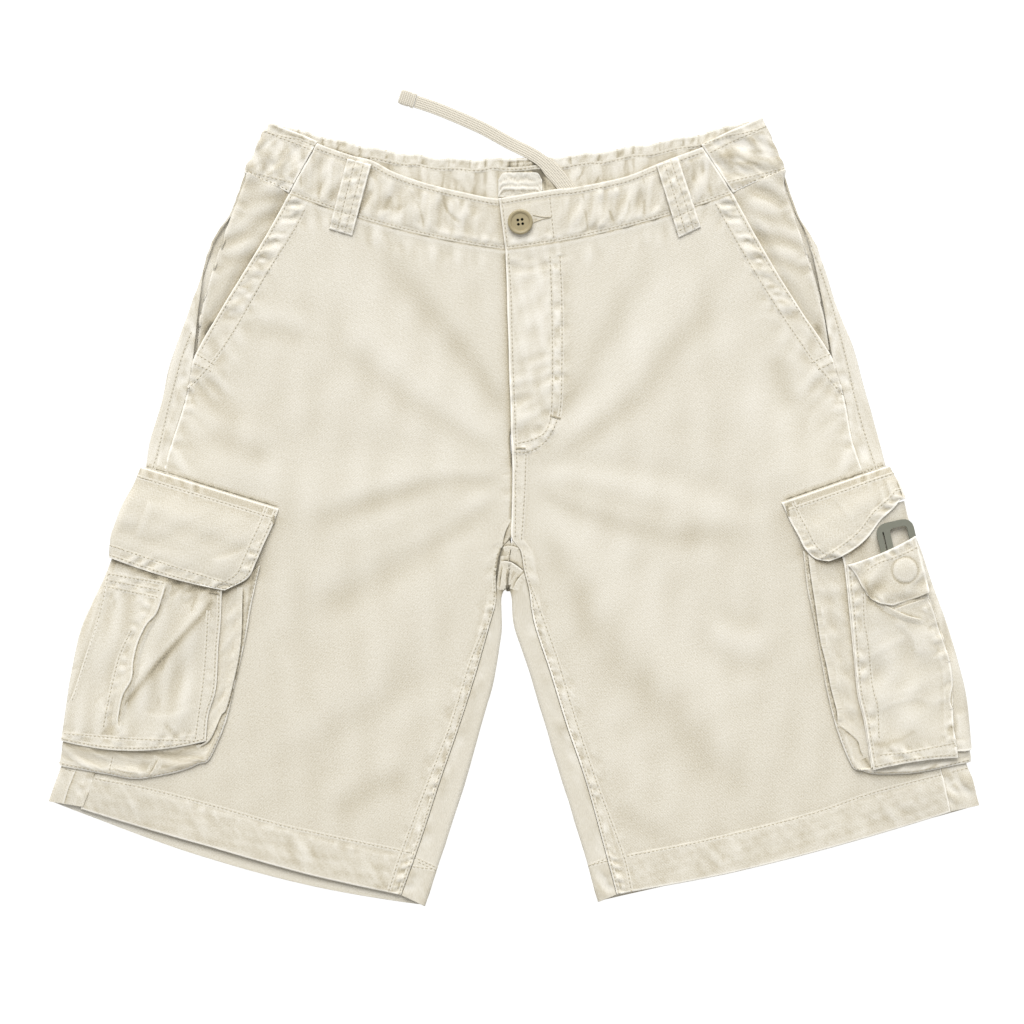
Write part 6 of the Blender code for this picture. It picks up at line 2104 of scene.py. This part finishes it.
def widened(grid, left, right, heights=(-400, 400)):
    """The grid with its turns at both sides moved outwards, between two heights."""
    across, up = grid[:, :, 0].copy(), grid[:, :, 1]
    here = smoothstep((up - heights[0]) / 14) * smoothstep((heights[1] - up) / 14)
    lowest, highest = across.min(axis=1, keepdims=True), across.max(axis=1, keepdims=True)
    grid[:, :, 0] -= left * here * smoothstep((lowest + TURN_WIDE - across) / TURN_SOFT)
    grid[:, :, 0] += right * here * smoothstep((across - highest + TURN_WIDE) / TURN_SOFT)
    return grid


# where the pocket facing's outer edge is sewn down on the back
FACING_EDGE = {
    "right": ((-212, 271), (-218, 257), (-225.5, 237), (-235, 212), (-242.5, 186.5), (-249, 161),
              (-252, 146.5), (-253, 133)),
    "left": ((216, 257), (224, 236.5), (233, 209), (241, 181), (248.5, 153.5), (252.5, 127)),
}


def sewn_down(side, grid):
    """The facing's grid with its outer border on the seam."""
    across, up = zip(*sorted(FACING_EDGE[side], key=lambda point: point[1]))
    wanted = np.interp(grid[:, 0, 1], up, across)
    grid[:, :, 0] += (wanted - grid[:, 0, 0])[:, None] * np.linspace(1, 0, grid.shape[1])
    return grid


def lifted(side, grid):
    """The flap with the lower edge that the clip pushes up."""
    if side == "left":
        weight = np.linspace(0, 1, len(grid))[:, None] ** 2
        grid[:, :, 1] += 4.0 * weight * np.exp(-((grid[:, :, 0] - 292) / 8) ** 2)
    return grid


CUFF_EDGE = ((278, -59), (282, -69), (290.5, -73.5), (301, -75.5), (321, -69), (334.5, -63))


def let_down(grid):
    """The cuff's grid with its lower border on its edge."""
    top, low = grid[0, :, 1], grid[-1, :, 1]
    wanted = np.interp(grid[-1, :, 0], *zip(*CUFF_EDGE))
    grid[:, :, 1] = top + (grid[:, :, 1] - top) * np.clip((wanted - top) / (low - top), 0.8, 1.35)
    return grid


# how far each border of a piece rolls over, or that with how much paler its edge is made by wear and a
# painted highlight
ALL = {"left": 1.0, "right": 1.0, "top": 1.0, "bottom": 1.0}


def sew_side(side):
    """The cloth pieces that each side has."""
    right = side == "right"
    sew_piece(f"back_{side}", hung(f"back_{side}", back_panel(side)), partial(back_shape, side),
              {"left": -0.5, "right": -0.5}, faces="down", grow={"left": 2.6 if right else 1.0})
    sew_piece(f"front_{side}", hung(f"front_{side}", front_panel(side)), partial(front_shape, side),
              {"left": (0.9, 2.1), "right": (0.6, 0.2 if right else 2.2), "bottom": (1.0, 1.2)})
    sew_piece(f"pocket_facing_{side}", sewn_down(side, pocket_facing(side)),
              partial(facing_shape, side), {"left": (0.4, 0.7), "bottom": -0.2},
              probe=(0.3, 0.8), grow={"left": 0.0, "bottom": 7.0})
    sew_piece(f"waistband_front_{side}", band_front(side)[::-1], partial(band_front_shape, side),
              dict(ALL, top=(0.9, 1.0), bottom=(0.5, 0.0)), BAND, grow={"bottom": 0.6})
    sew_piece(f"belt_loop_{side}", belt_loop(side), loop_shape,
              dict(ALL, left=(0.6, 0.9), bottom=(1.0, 2.2)), grow={"left": -1.2})
    face = pocket_face(side)
    sew_piece(f"cargo_pocket_{side}", face, partial(face_shape, side),
              {"left": (0.8, 3.0), "bottom": (0.5, 2.8)}, probe=(0.5, 0.3), grow={"left": 0.9})
    sew_piece(f"cargo_flap_{side}", lifted(side, pocket_flap(side)), partial(flap_shape, side),
              {"top": 1.0, "left": 1.0, "bottom": (0.5, 3.0)}, probe=(0.5, 0.3),
              grow={"top": 3.0, "bottom": 1.2})
    sew_piece(f"cargo_bellows_{side}", bellows(side, face), bellows_shape, {"bottom": (0.4, 1.6)},
              probe=(0.5, 0.1))


camera_and_light()
table_top()
cord, cord_path, cord_length = drawcord()
tip = cord_end()
for side in ("right", "left"):
    sew_side(side)
sew_piece("waistband_back", widened(band_back()[::-1].copy(), 3.2, 3.2), band_back_shape, ALL, BAND,
          faces="down", grow={"top": 2.0})
sew_piece("phone_pocket", phone_pocket(), phone_shape,
          {"left": (0.8, 3.0), "right": 1.0, "bottom": (0.5, 2.8)}, grow={"left": 0.7, "bottom": 3.8})
sew_piece("phone_pocket_cuff", let_down(cuff()), cuff_shape, dict(ALL, bottom=(0.8, 0.9)))
sew_all()
sew_piece("inner_patch", patch_grid(), patch_shape, dict.fromkeys(ALL, 0.3), 0.7, LABEL)

# finishes of the clip and the button
for node, finish in (("snap_clip", CLIP_PLASTIC), ("button", BUTTON_PLASTIC)):
    item = bpy.data.objects[node]
    item.data.materials.clear()
    item.data.materials.append(finish)
# the near-black disc between button and cloth, painted shade that shows in the button's holes
bpy.ops.object.select_all(action="DESELECT")
bpy.ops.mesh.primitive_cylinder_add(vertices=32, radius=4.4 * MM, depth=0.5 * MM)
hole_shade_disc = bpy.context.object
hole_shade_disc.name = "button_hole_shade_disc"
bpy.ops.object.mode_set(mode="EDIT")
bpy.ops.transform.translate(value=(BUTTON[0] * MM, BUTTON[1] * MM, (BAND_TOP + SEAM + 1.6) * MM))
bpy.ops.object.mode_set(mode="OBJECT")
hole_shade_disc.data.materials.append(HOLE_SHADE)
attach(hole_shade_disc, "root")
